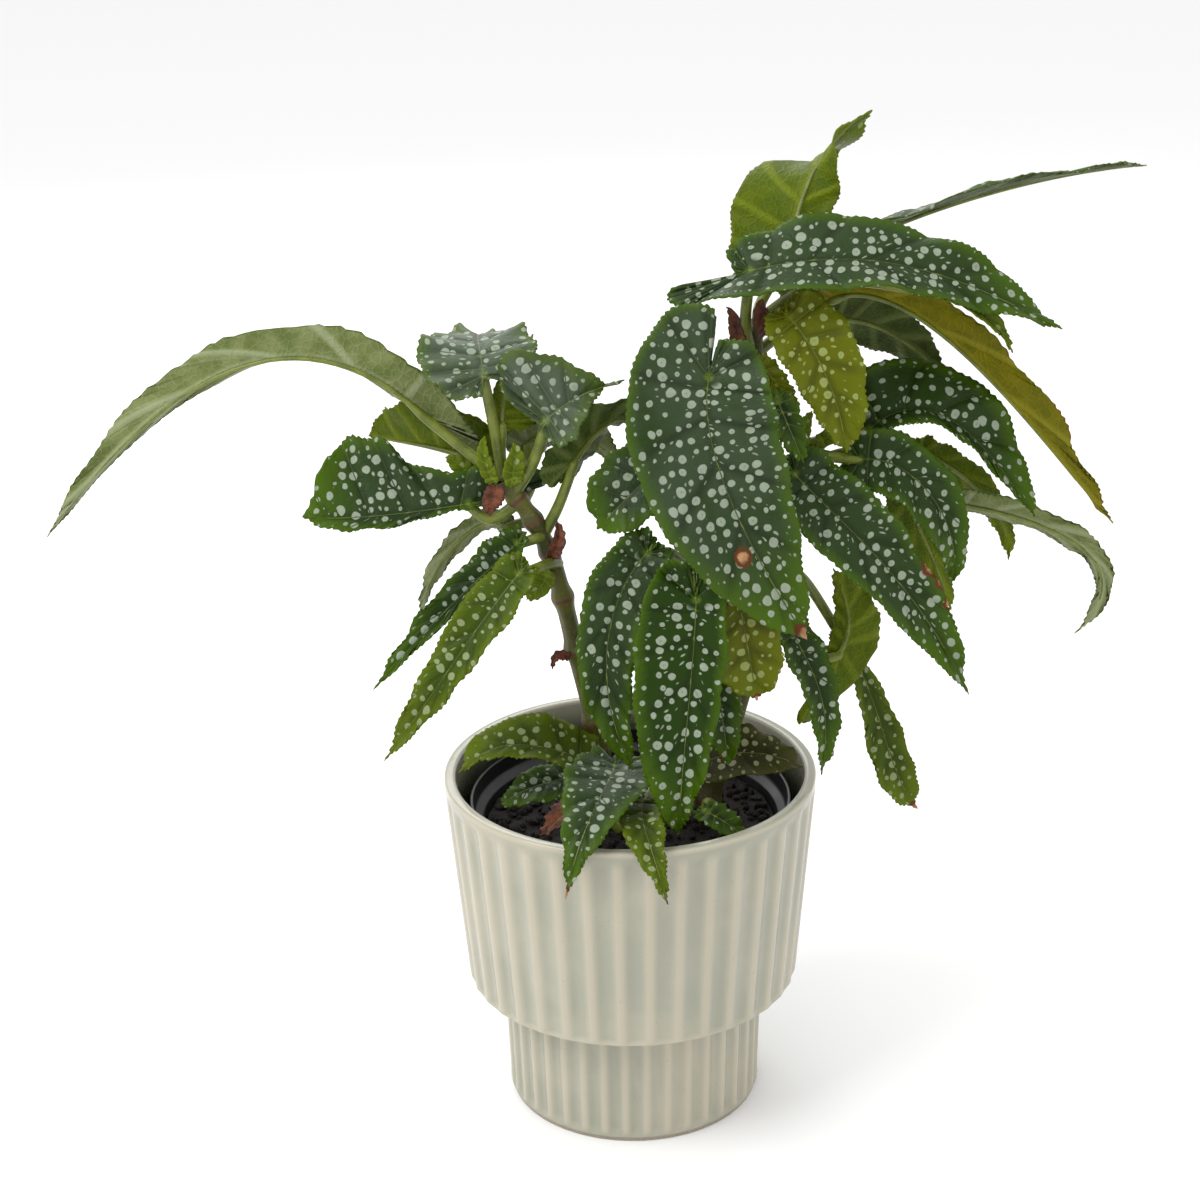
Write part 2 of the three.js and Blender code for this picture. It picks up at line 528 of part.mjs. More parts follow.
// One point of the blade: side is -1 left of the midrib and 1 right of it, row runs round the
// outline, column from the midrib to the edge, and layer is -1 under the blade and 1 on top.
function bladePoint(leaf, curve, length, side, row, column, layer) {
  const sideIndex = side < 0 ? 0 : 1;
  const share = row / BLADE_ROWS;
  const across = column / BLADE_COLUMNS;
  const edge = outlineAt(share, length, leaf.half[sideIndex], leaf.lobe[sideIndex], leaf.belly ?? 0);
  const rib = length * clamp((share - FAN_SHARE) / (1 - FAN_SHARE)) ** RIB_SPREAD;
  const along = rib * (1 - across) + edge[0] * across;
  const sideways = edge[1] * across;
  const place = clamp(along / length);
  const tangent = curve.getTangent(place);
  const point = curve.getPoint(place).addScaledVector(tangent, Math.min(along, 0));
  const face = vector(leaf.face);
  if (leaf.faceTip) face.lerp(vector(leaf.faceTip), place * place);
  const up = face.clone().addScaledVector(tangent, -face.dot(tangent)).normalize();
  const right = tangent.clone().cross(up);
  const rise = THREE.MathUtils.degToRad(leaf.fold[sideIndex]);
  point.addScaledVector(right, side * sideways * Math.cos(rise));
  point.addScaledVector(up, sideways * Math.sin(rise));
  const turn = rise * clamp(sideways / FOLD_ROUND);
  point.addScaledVector(up, layer * BLADE_THICKNESS / 2 * Math.cos(turn));
  point.addScaledVector(right, -side * layer * BLADE_THICKNESS / 2 * Math.sin(turn));
  return point;
}

// Both skins of both halves, closed along the outline.
function blade(leaf) {
  const curve = midribCurve(leaf.midrib);
  const length = curve.getLength();
  const corners = [];
  const quad = (a, b, c, d, isFlipped) => {
    const order = isFlipped ? [a, c, b, a, d, c] : [a, b, c, a, c, d];
    order.forEach((point) => corners.push(point.x, point.y, point.z));
  };
  for (const side of [-1, 1]) {
    const at = (row, column, layer) => bladePoint(leaf, curve, length, side, row, column, layer);
    for (let row = 0; row < BLADE_ROWS; row += 1) {
      for (const layer of [-1, 1]) {
        for (let column = 0; column < BLADE_COLUMNS; column += 1) {
          quad(
            at(row, column, layer), at(row + 1, column, layer),
            at(row + 1, column + 1, layer), at(row, column + 1, layer), side * layer > 0,
          );
        }
      }
      quad(
        at(row, BLADE_COLUMNS, 1), at(row + 1, BLADE_COLUMNS, 1),
        at(row + 1, BLADE_COLUMNS, -1), at(row, BLADE_COLUMNS, -1), side > 0,
      );
    }
  }
  const geometry = new THREE.BufferGeometry();
  geometry.setAttribute('position', new THREE.Float32BufferAttribute(corners, 3));
  return solidFrom(geometry);
}

function stalkSolid(leaf, radius) {
  return solidFrom(bar([...leaf.stalk, leaf.midrib[0]], radius, STALK_SIDES, STALK_STEPS));
}

// What is left of a solid once the rooms of its neighbours are cut away.
function clearOf(solid, rooms) {
  return rooms.reduce((left, room) => left.subtract(room), solid);
}

// ---- assembly -----------------------------------------------------------------------------
const begonia = new THREE.Group();

for (const [name, profile, finish] of [
  ['ceramic_pot', ceramicPot(), GLAZE],
  ['nursery_pot', nurseryPot(), BLACK_PLASTIC],
]) {
  const mesh = node(name, profile, finish);
  mesh.rotation.x = Math.PI / 2;
  begonia.add(mesh);
}

// Each cane and stalk keeps a room around it that the pieces made after it stay out of.
const rooms = [];
for (const [name, points] of Object.entries(CANES)) {
  begonia.add(node(name, bar(points, CANE_RADIUS, CANE_SIDES, CANE_STEPS), CANE_SKIN));
  rooms.push(solidFrom(bar(points, CANE_RADIUS + GAP, CANE_SIDES, CANE_STEPS)));
}

const soil = clearOf(solidFrom(soilBed().rotateX(Math.PI / 2)), rooms);
begonia.add(node('soil', geometryFrom(soil), POTTING_SOIL));

for (const [name, leaf] of Object.entries(LEAVES)) {
  const solid = clearOf(blade(leaf).add(stalkSolid(leaf, STALK_RADIUS)), rooms);
  begonia.add(node(name, geometryFrom(solid), TINTS[leaf.tint]));
  rooms.push(stalkSolid(leaf, STALK_RADIUS + GAP));
}

for (const [name, scale] of Object.entries(SCALES)) {
  begonia.add(node(name, geometryFrom(clearOf(blade(scale), rooms)), TINTS[scale.tint]));
}

export default begonia;
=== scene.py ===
"""Potted begonia: the finish of a spotted cane begonia in a ribbed two-step glazed pot."""
import math

import bmesh
import bpy
import numpy as np
from mathutils import Matrix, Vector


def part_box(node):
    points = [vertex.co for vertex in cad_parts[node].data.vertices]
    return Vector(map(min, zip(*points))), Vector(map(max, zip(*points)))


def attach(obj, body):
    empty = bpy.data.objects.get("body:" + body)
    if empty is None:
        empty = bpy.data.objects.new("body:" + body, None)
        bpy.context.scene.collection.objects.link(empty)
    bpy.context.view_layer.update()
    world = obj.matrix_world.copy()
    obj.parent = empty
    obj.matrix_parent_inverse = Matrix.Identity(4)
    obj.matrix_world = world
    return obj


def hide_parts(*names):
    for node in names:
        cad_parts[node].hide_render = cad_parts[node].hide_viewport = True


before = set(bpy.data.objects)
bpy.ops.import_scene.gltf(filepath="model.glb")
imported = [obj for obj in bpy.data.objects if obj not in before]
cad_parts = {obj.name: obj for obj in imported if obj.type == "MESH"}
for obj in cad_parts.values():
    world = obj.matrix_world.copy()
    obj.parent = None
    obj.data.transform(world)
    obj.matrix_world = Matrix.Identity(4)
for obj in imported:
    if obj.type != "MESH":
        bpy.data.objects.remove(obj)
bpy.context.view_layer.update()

MM = 0.001
TAU = 2 * math.pi

# Routes in millimetres. A leaf has a midrib, two half widths, two ear lengths, the way it faces,
# the fold of each half in degrees, and a stalk from its cane.
CANES = {
    "cane_left": [
        [-6, 5, 77], [-8, 4, 120], [-14, 2, 160], [-20, -2, 190],
        [-24, -4, 210], [-29, -6, 231], [-37, -7, 248], [-46, -8, 260],
    ],
    "cane_right": [
        [11, 8, 77], [14, 8, 120], [24, 8, 180], [38, 6, 248],
        [46, 4, 296], [49, 3, 316],
    ],
    "cane_front": [
        [22, -3, 77], [30, -2, 120], [46, 0, 178], [60, 2, 232],
        [68, 2, 270],
    ],
}
LEAVES = {
    "leaf_left_1": dict(
        midrib=[[-73, 0, 283], [-122, 2, 306], [-172, 6, 285], [-220, 10, 235]],
        half=[12, 11], lobe=[24, 6], face=[0, 1, 0.25], fold=[20, 55], tint="pale",
        stalk=[[-46, -8, 261], [-59, -4, 271]],
    ),
    "leaf_left_2": dict(
        midrib=[[-62, 14, 264], [-75, 19, 266], [-87, 26, 266], [-98, 32, 266]],
        half=[19, 8], lobe=[15, 6], face=[0, 1, 0.3], fold=[5, 50], tint="lime",
        stalk=[[-45, -7, 258], [-54, 4, 260]],
    ),
    "leaf_left_3": dict(
        midrib=[[-58, -12, 253], [-78, -17, 252], [-98, -19, 251], [-119, -18, 251]],
        half=[5, 26], lobe=[6, 32], face=[0, -0.7, 0.7], fold=[8, 14], belly=1.5, tint="dark",
        stalk=[[-39, -7, 252], [-50, -10, 246]],
    ),
    "leaf_left_4": dict(
        midrib=[[-51, -12, 302], [-53, 4, 309], [-54, 22, 308], [-53, 40, 302]],
        half=[21, 19], lobe=[9, 3], face=[0, -0.6, 0.8], fold=[6, 6], belly=-0.3, tint="grey",
        stalk=[[-45, -8, 261], [-48, -9, 282]],
    ),
    "leaf_left_5": dict(
        midrib=[[-45, -6, 281], [-44, -4, 290], [-40, 0, 301], [-33, 6, 312]],
        half=[12, 5], lobe=[2, 2], face=[0, 1, 0.1], fold=[10, 25], belly=-1, tint="lime",
        stalk=[[-45, -8, 262], [-46, -8, 270]],
    ),
    "leaf_left_6": dict(
        midrib=[[-29, -18, 286], [-21, -20, 293], [-12, -18, 297], [0, -12, 299]],
        half=[20, 9], lobe=[4, 4], face=[0, -0.9, 0.35], fold=[10, 10], belly=-1.3, tint="grey",
        stalk=[[-41, -8, 256], [-34, -12, 268]],
    ),
    "leaf_left_7": dict(
        midrib=[[-20, -6, 266], [-12, -2, 275], [-3, 2, 280], [7, 6, 275]],
        half=[8, 12], lobe=[8, 12], face=[0, 0.8, 0.6], fold=[15, 15], tint="olive",
        stalk=[[-31, -6, 238], [-25, -7, 250]],
    ),
    "leaf_left_8": dict(
        midrib=[[-38, 10, 268], [-27, 16, 271], [-14, 20, 267], [-3, 22, 257]],
        half=[10, 12], lobe=[6, 6], face=[0, 0.9, 0.4], fold=[10, 10], tint="pale",
        stalk=[[-39, -6, 250], [-35, 5, 256]],
    ),
    "leaf_left_9": dict(
        midrib=[[-41, -12, 237], [-54, -13, 225], [-73, -15, 207], [-97, -15, 180]],
        half=[6, 8], lobe=[4, 5], face=[-0.3, -0.7, 0.6], fold=[15, 20], tint="dark",
        stalk=[[-31, -6, 238], [-34, -10, 238]],
    ),
    "leaf_left_10": dict(
        midrib=[[-40, -28, 231], [-55, -37, 214], [-71, -41, 192], [-92, -38, 161]],
        half=[9, 10], lobe=[5, 6], face=[-0.3, -0.8, 0.5], fold=[12, 12], tint="dark",
        stalk=[[-26, -5, 226], [-29, -13, 229]],
    ),
    "leaf_left_11": dict(
        midrib=[[-45, 6, 237], [-57, 10, 236], [-71, 12, 221], [-80, 12, 200]],
        half=[5, 5], lobe=[3, 3], face=[-0.2, 1, 0.3], fold=[15, 15], tint="pale",
        stalk=[[-29, -6, 234], [-36, 4, 239]],
    ),
    "leaf_right_1": dict(
        midrib=[[59, 20, 332], [66, 29, 352], [75, 36, 369], [93, 36, 386]],
        half=[13, 25], lobe=[6, 10], face=[0, 1, 0], faceTip=[1.6, -0.9, 0.3],
        fold=[8, 8], belly=0.3, tint="lime",
        stalk=[[49, 3, 316], [51, 14, 320]],
    ),
    "leaf_right_2": dict(
        midrib=[[45, -10, 338], [84, -17, 343], [119, -20, 335], [156, -20, 317]],
        half=[18, 15], lobe=[6, 30], face=[0, -0.6, 0.8], fold=[6, 10], tint="grey",
        stalk=[[47, 4, 302], [44, -6, 318]],
    ),
    "leaf_right_3": dict(
        midrib=[[86, 32, 338], [120, 40, 349], [160, 44, 358], [197, 44, 362]],
        half=[11, 11], lobe=[4, 4], face=[0, 0.24, 0.97], fold=[12, 12], tint="grey",
        stalk=[[49, 3, 312], [70, 12, 322]],
    ),
    "leaf_right_4": dict(
        midrib=[[76, -1, 326], [112, 4, 314], [150, 4, 276], [183, 0, 236]],
        half=[16, 14], lobe=[6, 6], face=[0.6, 0, 0.8], fold=[25, 62], tint="olive",
        stalk=[[49, 3, 312], [62, 2, 321]],
    ),
    "leaf_right_5": dict(
        midrib=[[78, 18, 312], [92, 24, 309], [107, 28, 300], [122, 30, 286]],
        half=[12, 12], lobe=[6, 6], face=[0, 0.9, 0.4], fold=[8, 8], tint="grey",
        stalk=[[47, 4, 302], [60, 12, 309]],
    ),
    "leaf_right_6": dict(
        midrib=[[59, -14, 322], [69, -20, 308], [76, -22, 291], [80, -20, 272]],
        half=[15, 12], lobe=[5, 5], face=[0, -0.9, 0.4], fold=[10, 10], tint="olive",
        stalk=[[49, 3, 311], [54, -6, 318]],
    ),
    "leaf_right_7": dict(
        midrib=[[49, -8, 303], [53, -11, 299], [58, -13, 293], [63, -14, 287]],
        half=[5, 5], lobe=[2, 2], face=[-0.3, -0.8, 0.5], fold=[20, 20], tint="olive",
        stalk=[[46, 4, 297], [47, -2, 301]],
    ),
    "leaf_right_8": dict(
        midrib=[[90, -1, 275], [113, -2, 282], [134, -2, 266], [153, -2, 240]],
        half=[20, 7], lobe=[5, 3], face=[0.2, -0.7, 0.7], fold=[8, 20], tint="dark",
        stalk=[[68, 2, 269], [79, 0, 272]],
    ),
    "leaf_right_9": dict(
        midrib=[[86, -12, 267], [104, -15, 262], [118, -15, 243], [121, -13, 218]],
        half=[12, 14], lobe=[4, 8], face=[0.3, -0.8, 0.5], fold=[12, 12], tint="dark",
        stalk=[[67, 2, 266], [76, -8, 267]],
    ),
    "leaf_right_10": dict(
        midrib=[[125, 16, 240], [157, 20, 230], [183, 22, 211], [175, 20, 183]],
        half=[6, 7], lobe=[4, 4], face=[0.5, 0.8, 0.3], fold=[15, 15], tint="pale",
        stalk=[[66, 2, 260], [94, 12, 262]],
    ),
    "leaf_right_11": dict(
        midrib=[[114, 34, 256], [130, 37, 245], [145, 38, 229], [151, 37, 208]],
        half=[7, 7], lobe=[3, 3], face=[0.2, 0.9, 0.3], fold=[12, 12], tint="lime",
        stalk=[[67, 2, 264], [90, 24, 270]],
    ),
    "leaf_right_12": dict(
        midrib=[[103, 2, 253], [109, 3, 238], [117, 4, 220], [124, 4, 200]],
        half=[8, 8], lobe=[4, 4], face=[0, 1, 0.2], fold=[10, 10], tint="lime",
        stalk=[[65, 2, 256], [82, 4, 256]],
    ),
    "leaf_right_13": dict(
        midrib=[[29, -42, 308], [31, -48, 281], [44, -50, 248], [64, -48, 211]],
        half=[24, 29], lobe=[14, 24], face=[0, -0.85, 0.5], fold=[8, 8], tint="dark",
        stalk=[[45, 4, 292], [40, -16, 302]],
    ),
    "leaf_right_14": dict(
        midrib=[[15, -20, 272], [8, -24, 266], [-2, -27, 257], [-11, -26, 247]],
        half=[12, 16], lobe=[4, 4], face=[-0.2, -0.9, 0.4], fold=[8, 8], belly=0.6, tint="dark",
        stalk=[[39, 6, 256], [30, -10, 274]],
    ),
    "leaf_right_15": dict(
        midrib=[[61, -24, 266], [82, -33, 246], [104, -35, 220], [126, -32, 181]],
        half=[15, 15], lobe=[7, 7], face=[0.2, -0.8, 0.5], fold=[10, 10], tint="dark",
        stalk=[[66, 2, 261], [64, -12, 266]],
    ),
    "leaf_right_16": dict(
        midrib=[[54, -30, 296], [57, -34, 289], [60, -36, 282], [63, -36, 274]],
        half=[6, 6], lobe=[3, 3], face=[0.2, -0.9, 0.4], fold=[10, 10], tint="dark",
        stalk=[[44, 5, 284], [50, -18, 292]],
    ),
    "leaf_right_17": dict(
        midrib=[[88, 18, 177], [98, 16, 153], [105, 14, 131], [115, 14, 111]],
        half=[7, 8], lobe=[4, 4], face=[0.2, -0.9, 0.3], fold=[10, 10], belly=1.2, tint="dark",
        stalk=[[58, 2, 222], [70, 14, 208]],
    ),
    "leaf_right_18": dict(
        midrib=[[81, 6, 182], [85, 8, 192], [84, 10, 203], [79, 11, 216]],
        half=[13, 6], lobe=[30, 5], face=[0, 1, -0.1], fold=[10, 10], tint="lime",
        stalk=[[53, 1, 206], [66, 2, 182]],
    ),
    "leaf_right_19": dict(
        midrib=[[60, -24, 206], [68, -27, 190], [73, -29, 172], [72, -28, 147]],
        half=[8, 8], lobe=[6, 6], face=[0.3, -0.8, 0.5], fold=[12, 12], tint="dark",
        stalk=[[50, 0, 194], [54, -13, 204]],
    ),
    "leaf_right_20": dict(
        midrib=[[38, -36, 234], [41, -38, 218], [44, -38, 200], [47, -36, 182]],
        half=[12, 13], lobe=[4, 4], face=[0, -0.9, 0.4], fold=[6, 6], belly=1, tint="olive",
        stalk=[[35, 6, 234], [37, -18, 238]],
    ),
    "leaf_right_21": dict(
        midrib=[[105, -18, 333], [119, -19, 328], [131, -19, 320], [139, -18, 308]],
        half=[4, 3], lobe=[2, 2], face=[0, -0.6, 0.8], fold=[15, 15], tint="lime",
        stalk=[[49, 3, 316], [72, -12, 334]],
    ),
    "leaf_front_1": dict(
        midrib=[[24, -50, 228], [22, -55, 201], [19, -57, 169], [17, -54, 136]],
        half=[12, 21], lobe=[10, 14], face=[0, -0.95, 0.3], fold=[14, 6], tint="dark",
        stalk=[[30, 7, 212], [27, -28, 232]],
    ),
    "leaf_front_2": dict(
        midrib=[[7, -33, 240], [-6, -38, 217], [-8, -40, 187], [1, -40, 156]],
        half=[12, 12], lobe=[6, 6], face=[-0.2, -0.9, 0.3], fold=[8, 10], tint="dark",
        stalk=[[28, 7, 205], [18, -16, 232]],
    ),
    "leaf_front_3": dict(
        midrib=[[32, -16, 192], [34, -19, 176], [36, -21, 161], [37, -21, 148]],
        half=[8, 8], lobe=[4, 4], face=[0, -0.9, 0.4], fold=[10, 10], tint="dark",
        stalk=[[23, 8, 172], [28, -6, 188]],
    ),
    "leaf_low_1": dict(
        midrib=[[-17, -10, 147], [-33, -13, 154], [-50, -14, 155], [-66, -12, 143]],
        half=[7, 14], lobe=[4, 6], face=[0, -0.5, 0.86], fold=[6, 6], tint="dark",
        stalk=[[-10, 3, 134], [-11, -5, 143]],
    ),
    "leaf_low_2": dict(
        midrib=[[-19, -4, 137], [-31, -6, 136], [-42, -8, 133], [-51, -8, 127]],
        half=[10, 9], lobe=[4, 4], face=[0, -0.4, 0.9], fold=[4, 4], tint="dark",
        stalk=[[-9, 4, 122], [-12, 0, 133]],
    ),
    "leaf_low_3": dict(
        midrib=[[-18, -20, 136], [-24, -23, 132], [-29, -27, 129], [-35, -33, 126]],
        half=[5, 6], lobe=[3, 3], face=[0, -0.3, 0.95], fold=[8, 8], tint="dry",
        stalk=[[-4, -22, 122], [-11, -20, 131]],
    ),
    "leaf_low_4": dict(
        midrib=[[-6, -30, 154], [-11, -52, 153], [-18, -71, 146], [-25, -79, 124]],
        half=[13, 14], lobe=[8, 8], face=[0, -0.4, 0.9], fold=[6, 6], belly=-0.6, tint="dark",
        stalk=[[-7, 2, 138], [-7, -16, 146]],
    ),
    "leaf_low_5": dict(
        midrib=[[4, -42, 145], [4, -61, 145], [7, -77, 140], [12, -83, 123]],
        half=[7, 9], lobe=[3, 5], face=[0, -0.4, 0.9], fold=[6, 6], belly=-0.3, tint="dark",
        stalk=[[18, 8, 138], [11, -20, 143]],
    ),
    "leaf_low_6": dict(
        midrib=[[29, -8, 144], [41, -11, 149], [54, -11, 148], [67, -8, 141]],
        half=[12, 12], lobe=[5, 5], face=[0, -0.5, 0.86], fold=[5, 5], tint="olive",
        stalk=[[17, 8, 134], [22, -2, 139]],
    ),
    "leaf_low_7": dict(
        midrib=[[28, -34, 136], [34, -38, 134], [39, -40, 131], [43, -41, 128]],
        half=[6, 6], lobe=[3, 3], face=[0, -0.4, 0.9], fold=[6, 6], tint="dark",
        stalk=[[31, -8, 126], [29, -24, 134]],
    ),
}
SCALES = {
    "scale_left_1": dict(
        midrib=[[-28, -12, 232], [-26, -12, 236], [-25, -11, 240], [-26, -10, 245]],
        half=[3, 3], lobe=[1, 1], face=[0.3, -0.9, 0.2], fold=[25, 25], tint="dry",
    ),
    "scale_left_2": dict(
        midrib=[[-23, -7, 189], [-26, -8, 190], [-28, -9, 189], [-29, -10, 185]],
        half=[2, 2], lobe=[1, 1], face=[0, -0.9, 0.4], fold=[25, 25], tint="dry",
    ),
    "scale_left_3": dict(
        midrib=[[-49, -13, 262], [-51, -14, 268], [-52, -15, 274], [-51, -15, 280]],
        half=[3, 3], lobe=[1, 1], face=[-0.2, -0.9, 0.2], fold=[20, 20], tint="lime",
    ),
    "scale_left_4": dict(
        midrib=[[-41, -13, 262], [-41, -14, 267], [-40, -15, 272], [-41, -15, 277]],
        half=[4, 4], lobe=[2, 2], face=[0.2, -0.9, 0.2], fold=[10, 10], tint="lime",
    ),
    "scale_left_5": dict(
        midrib=[[-55, -1, 259], [-59, -1, 262], [-63, 0, 265], [-67, 1, 267]],
        half=[4, 4], lobe=[2, 2], face=[0.1, -0.9, 0.3], fold=[12, 12], tint="lime",
    ),
    "scale_left_6": dict(
        midrib=[[-48, -15, 259], [-49, -16, 256], [-50, -16, 253], [-50, -15, 249]],
        half=[4, 4], lobe=[2, 2], face=[0.2, -0.9, 0.1], fold=[10, 10], tint="dry",
    ),
    "scale_left_7": dict(
        midrib=[[-30, -10, 224], [-32, -11, 220], [-35, -12, 217], [-38, -11, 214]],
        half=[4, 4], lobe=[1, 1], face=[0, -0.9, 0.4], fold=[20, 20], tint="lime",
    ),
    "scale_right_1": dict(
        midrib=[[43, -3, 309], [41, -5, 314], [40, -6, 319], [37, -6, 324]],
        half=[3, 3], lobe=[1, 1], face=[-0.3, -0.9, 0.2], fold=[20, 20], tint="dry",
    ),
    "scale_right_2": dict(
        midrib=[[51, -5, 313], [50, -8, 318], [49, -10, 323], [50, -11, 328]],
        half=[4, 4], lobe=[1, 1], face=[0.2, -0.9, 0.3], fold=[20, 20], tint="dry",
    ),
    "scale_right_3": dict(
        midrib=[[57, -2, 328], [63, -4, 333], [70, -6, 336], [78, -8, 337]],
        half=[3, 4], lobe=[1, 1], face=[0, -0.8, 0.6], fold=[20, 20], tint="lime",
    ),
    "scale_right_4": dict(
        midrib=[[65, -6, 270], [65, -8, 276], [66, -10, 281], [68, -12, 286]],
        half=[3, 3], lobe=[2, 2], face=[-0.2, -0.9, 0.2], fold=[10, 10], tint="lime",
    ),
    "scale_right_5": dict(
        midrib=[[72, -4, 272], [77, -5, 275], [82, -6, 279], [86, -6, 284]],
        half=[3, 3], lobe=[2, 2], face=[0.2, -0.9, 0.3], fold=[10, 10], tint="lime",
    ),
}

# ---------------------------------------------------------------------------------------------
# Plant form, in millimetres and degrees
# ---------------------------------------------------------------------------------------------
HALF_OUTLINE = np.array([(0, 0), (-1, 0.12), (-0.7, 0.72), (0.16, 1), (0.5, 0.92), (0.8, 0.55), (1, 0)])
BELLY_SHIFT = np.array([0, 0, -0.2, -0.3, 0.1, 0.35, 0])
FAN_SHARE = 1 / 3
RIB_SPREAD = 1.6
BLADE_THICKNESS = 0.55
VEINS = 8
TOOTH_PITCH = 2.3
TOOTH_DEPTH = 1.0
LOBE_DEPTH = 0.45
VEIN_GROOVE = 0.5
VEIN_WIDTH = 0.9
PUFF = 0.55
RUFFLE = 1.4

STALK_RADIUS = 2.1
RIDGE_RADIUS = 0.85
CANE_RADIUS = 3.6
JOINT_HEIGHTS = {
    "cane_left": [128, 158, 190, 212, 231, 244, 253],
    "cane_right": [126, 156, 186, 214, 238, 258, 276, 292, 304],
    "cane_front": [124, 152, 178, 202, 224, 244],
}
NODE_SWELL = 0.36
NODE_LENGTH = 3.4

# ---------------------------------------------------------------------------------------------
# Pot form, in millimetres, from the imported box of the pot
# ---------------------------------------------------------------------------------------------
pot_low, pot_high = (np.array(corner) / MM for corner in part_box("ceramic_pot"))
RIM_RADIUS = (pot_high[0] - pot_low[0]) / 2
POT_HEIGHT = pot_high[2]
STEP_HEIGHT = 52.5
CUP_FOOT_RADIUS = 65.5
FOOT_TOP_RADIUS = 52
FOOT_BASE_RADIUS = 50.5
WALL = 4.5
FLOOR_THICKNESS = 6
UNGLAZED_HEIGHT = 1.4
RIB_COUNT = 38
RIB_DEPTH = 1.5
SOIL_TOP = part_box("soil")[1][2] / MM
NURSERY_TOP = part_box("nursery_pot")[1][2] / MM


# ---------------------------------------------------------------------------------------------
# Numbers and curves
# ---------------------------------------------------------------------------------------------
def unit(v):
    """Each vector of the array over its own length."""
    return v / np.maximum(np.linalg.norm(v, axis=-1, keepdims=True), 1e-9)


def smooth(low, high, x):
    """0 below low, 1 above high, and the cubic 3x^2 - 2x^3 between."""
    part = np.clip((x - low) / (high - low), 0, 1)
    return part * part * (3 - 2 * part)


def catmull(points, share):
    """A smooth curve through the points, read at shares 0 to 1: a cubic between each two
    neighbours whose end slopes are half the step from the point before to the point after."""
    last = len(points) - 1
    place = np.clip(share, 0, 1) * last
    index = np.minimum(place.astype(int), last - 1)
    part = (place - index)[..., None]
    before = points[np.maximum(index - 1, 0)]
    start = points[index]
    end = points[index + 1]
    after = points[np.minimum(index + 2, last)]
    leave = (end - before) / 2
    arrive = (after - start) / 2
    cubic = 2 * (start - end) + leave + arrive
    square = 3 * (end - start) - 2 * leave - arrive
    return ((cubic * part + square) * part + leave) * part + start


def midrib(points, share):
    """The cubic Bezier that passes the four points at 0, 1/3, 2/3 and 1: place and direction."""
    a, p, q, d = np.array(points, float)
    b = (-5 * a + 18 * p - 9 * q + 2 * d) / 6
    c = (2 * a - 9 * p + 18 * q - 5 * d) / 6
    t = np.asarray(share)[..., None]
    r = 1 - t
    place = r**3 * a + 3 * r * r * t * b + 3 * r * t * t * c + t**3 * d
    direction = r * r * (b - a) + 2 * r * t * (c - b) + t * t * (d - c)
    return place, unit(direction)


def walked_along(points):
    """How far each point of a line lies from its first, along the line."""
    return np.concatenate([[0], np.cumsum(np.linalg.norm(np.diff(points, axis=0), axis=1))])


def curve_length(points):
    place, _ = midrib(points, np.linspace(0, 1, 60))
    return np.linalg.norm(np.diff(place, axis=0), axis=1).sum()


# ---------------------------------------------------------------------------------------------
# Meshes
# ---------------------------------------------------------------------------------------------
def grid_faces(rows, columns, wrap=False):
    """Quads of a grid of rows x columns points, closed across the columns where wrap is set."""
    r, c = np.meshgrid(np.arange(rows - 1), np.arange(columns if wrap else columns - 1), indexing="ij")
    n = (c + 1) % columns
    quads = np.stack([r * columns + c, r * columns + n, (r + 1) * columns + n, (r + 1) * columns + c], -1)
    return quads.reshape(-1, 4)


def build(name, points, faces, materials, uvs=None, attributes=None, face_slots=None, weld=1e-6):
    """One mesh object from points in millimetres. Points closer than weld metres become one."""
    mesh = bpy.data.meshes.new(name)
    mesh.from_pydata((np.asarray(points).reshape(-1, 3) * MM).tolist(), [], np.asarray(faces).tolist())
    loops = np.empty(len(mesh.loops), dtype=np.int32)
    mesh.loops.foreach_get("vertex_index", loops)
    for layer, values in (uvs or {}).items():
        flat = np.asarray(values).reshape(-1, 2)[loops].ravel()
        mesh.uv_layers.new(name=layer).data.foreach_set("uv", flat)
    for layer, values in (attributes or {}).items():
        flat = np.asarray(values, float).ravel()
        mesh.attributes.new(layer, "FLOAT", "POINT").data.foreach_set("value", flat)
    if face_slots is not None:
        mesh.polygons.foreach_set("material_index", np.asarray(face_slots, dtype=np.int32))
    for material in materials:
        mesh.materials.append(material)
    body = bmesh.new()
    body.from_mesh(mesh)
    bmesh.ops.remove_doubles(body, verts=body.verts, dist=weld)
    bmesh.ops.dissolve_degenerate(body, dist=1e-7, edges=body.edges)
    body.to_mesh(mesh)
    body.free()
    mesh.polygons.foreach_set("use_smooth", np.ones(len(mesh.polygons), dtype=bool))
    mesh.update()
    piece = bpy.data.objects.new(name, mesh)
    bpy.context.collection.objects.link(piece)
    return piece


def tube(path, radius, sides, reference):
    """A closed tube: at every path point a ring square to the path, turned by one reference
    direction. The radius is one number a point, or one for each point and side. The end rings
    shrink to the path's ends."""
    path = np.asarray(path, float)
    direction = unit(np.gradient(path, axis=0))
    side = unit(np.cross(direction, np.asarray(reference, float)))
    other = np.cross(direction, side)
    angle = np.arange(sides) / sides * TAU
    ring = side[:, None] * np.cos(angle)[None, :, None] + other[:, None] * np.sin(angle)[None, :, None]
    points = path[:, None] + ring * radius.reshape(len(path), -1)[..., None]
    first, last = (np.repeat(end, sides, 1) for end in (path[:1, None], path[-1:, None]))
    points = np.concatenate([first, points, last])
    return points, grid_faces(len(path) + 2, sides, wrap=True)[:, ::-1]


def finish_piece(piece, node):
    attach(piece, "root")
    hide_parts(node)


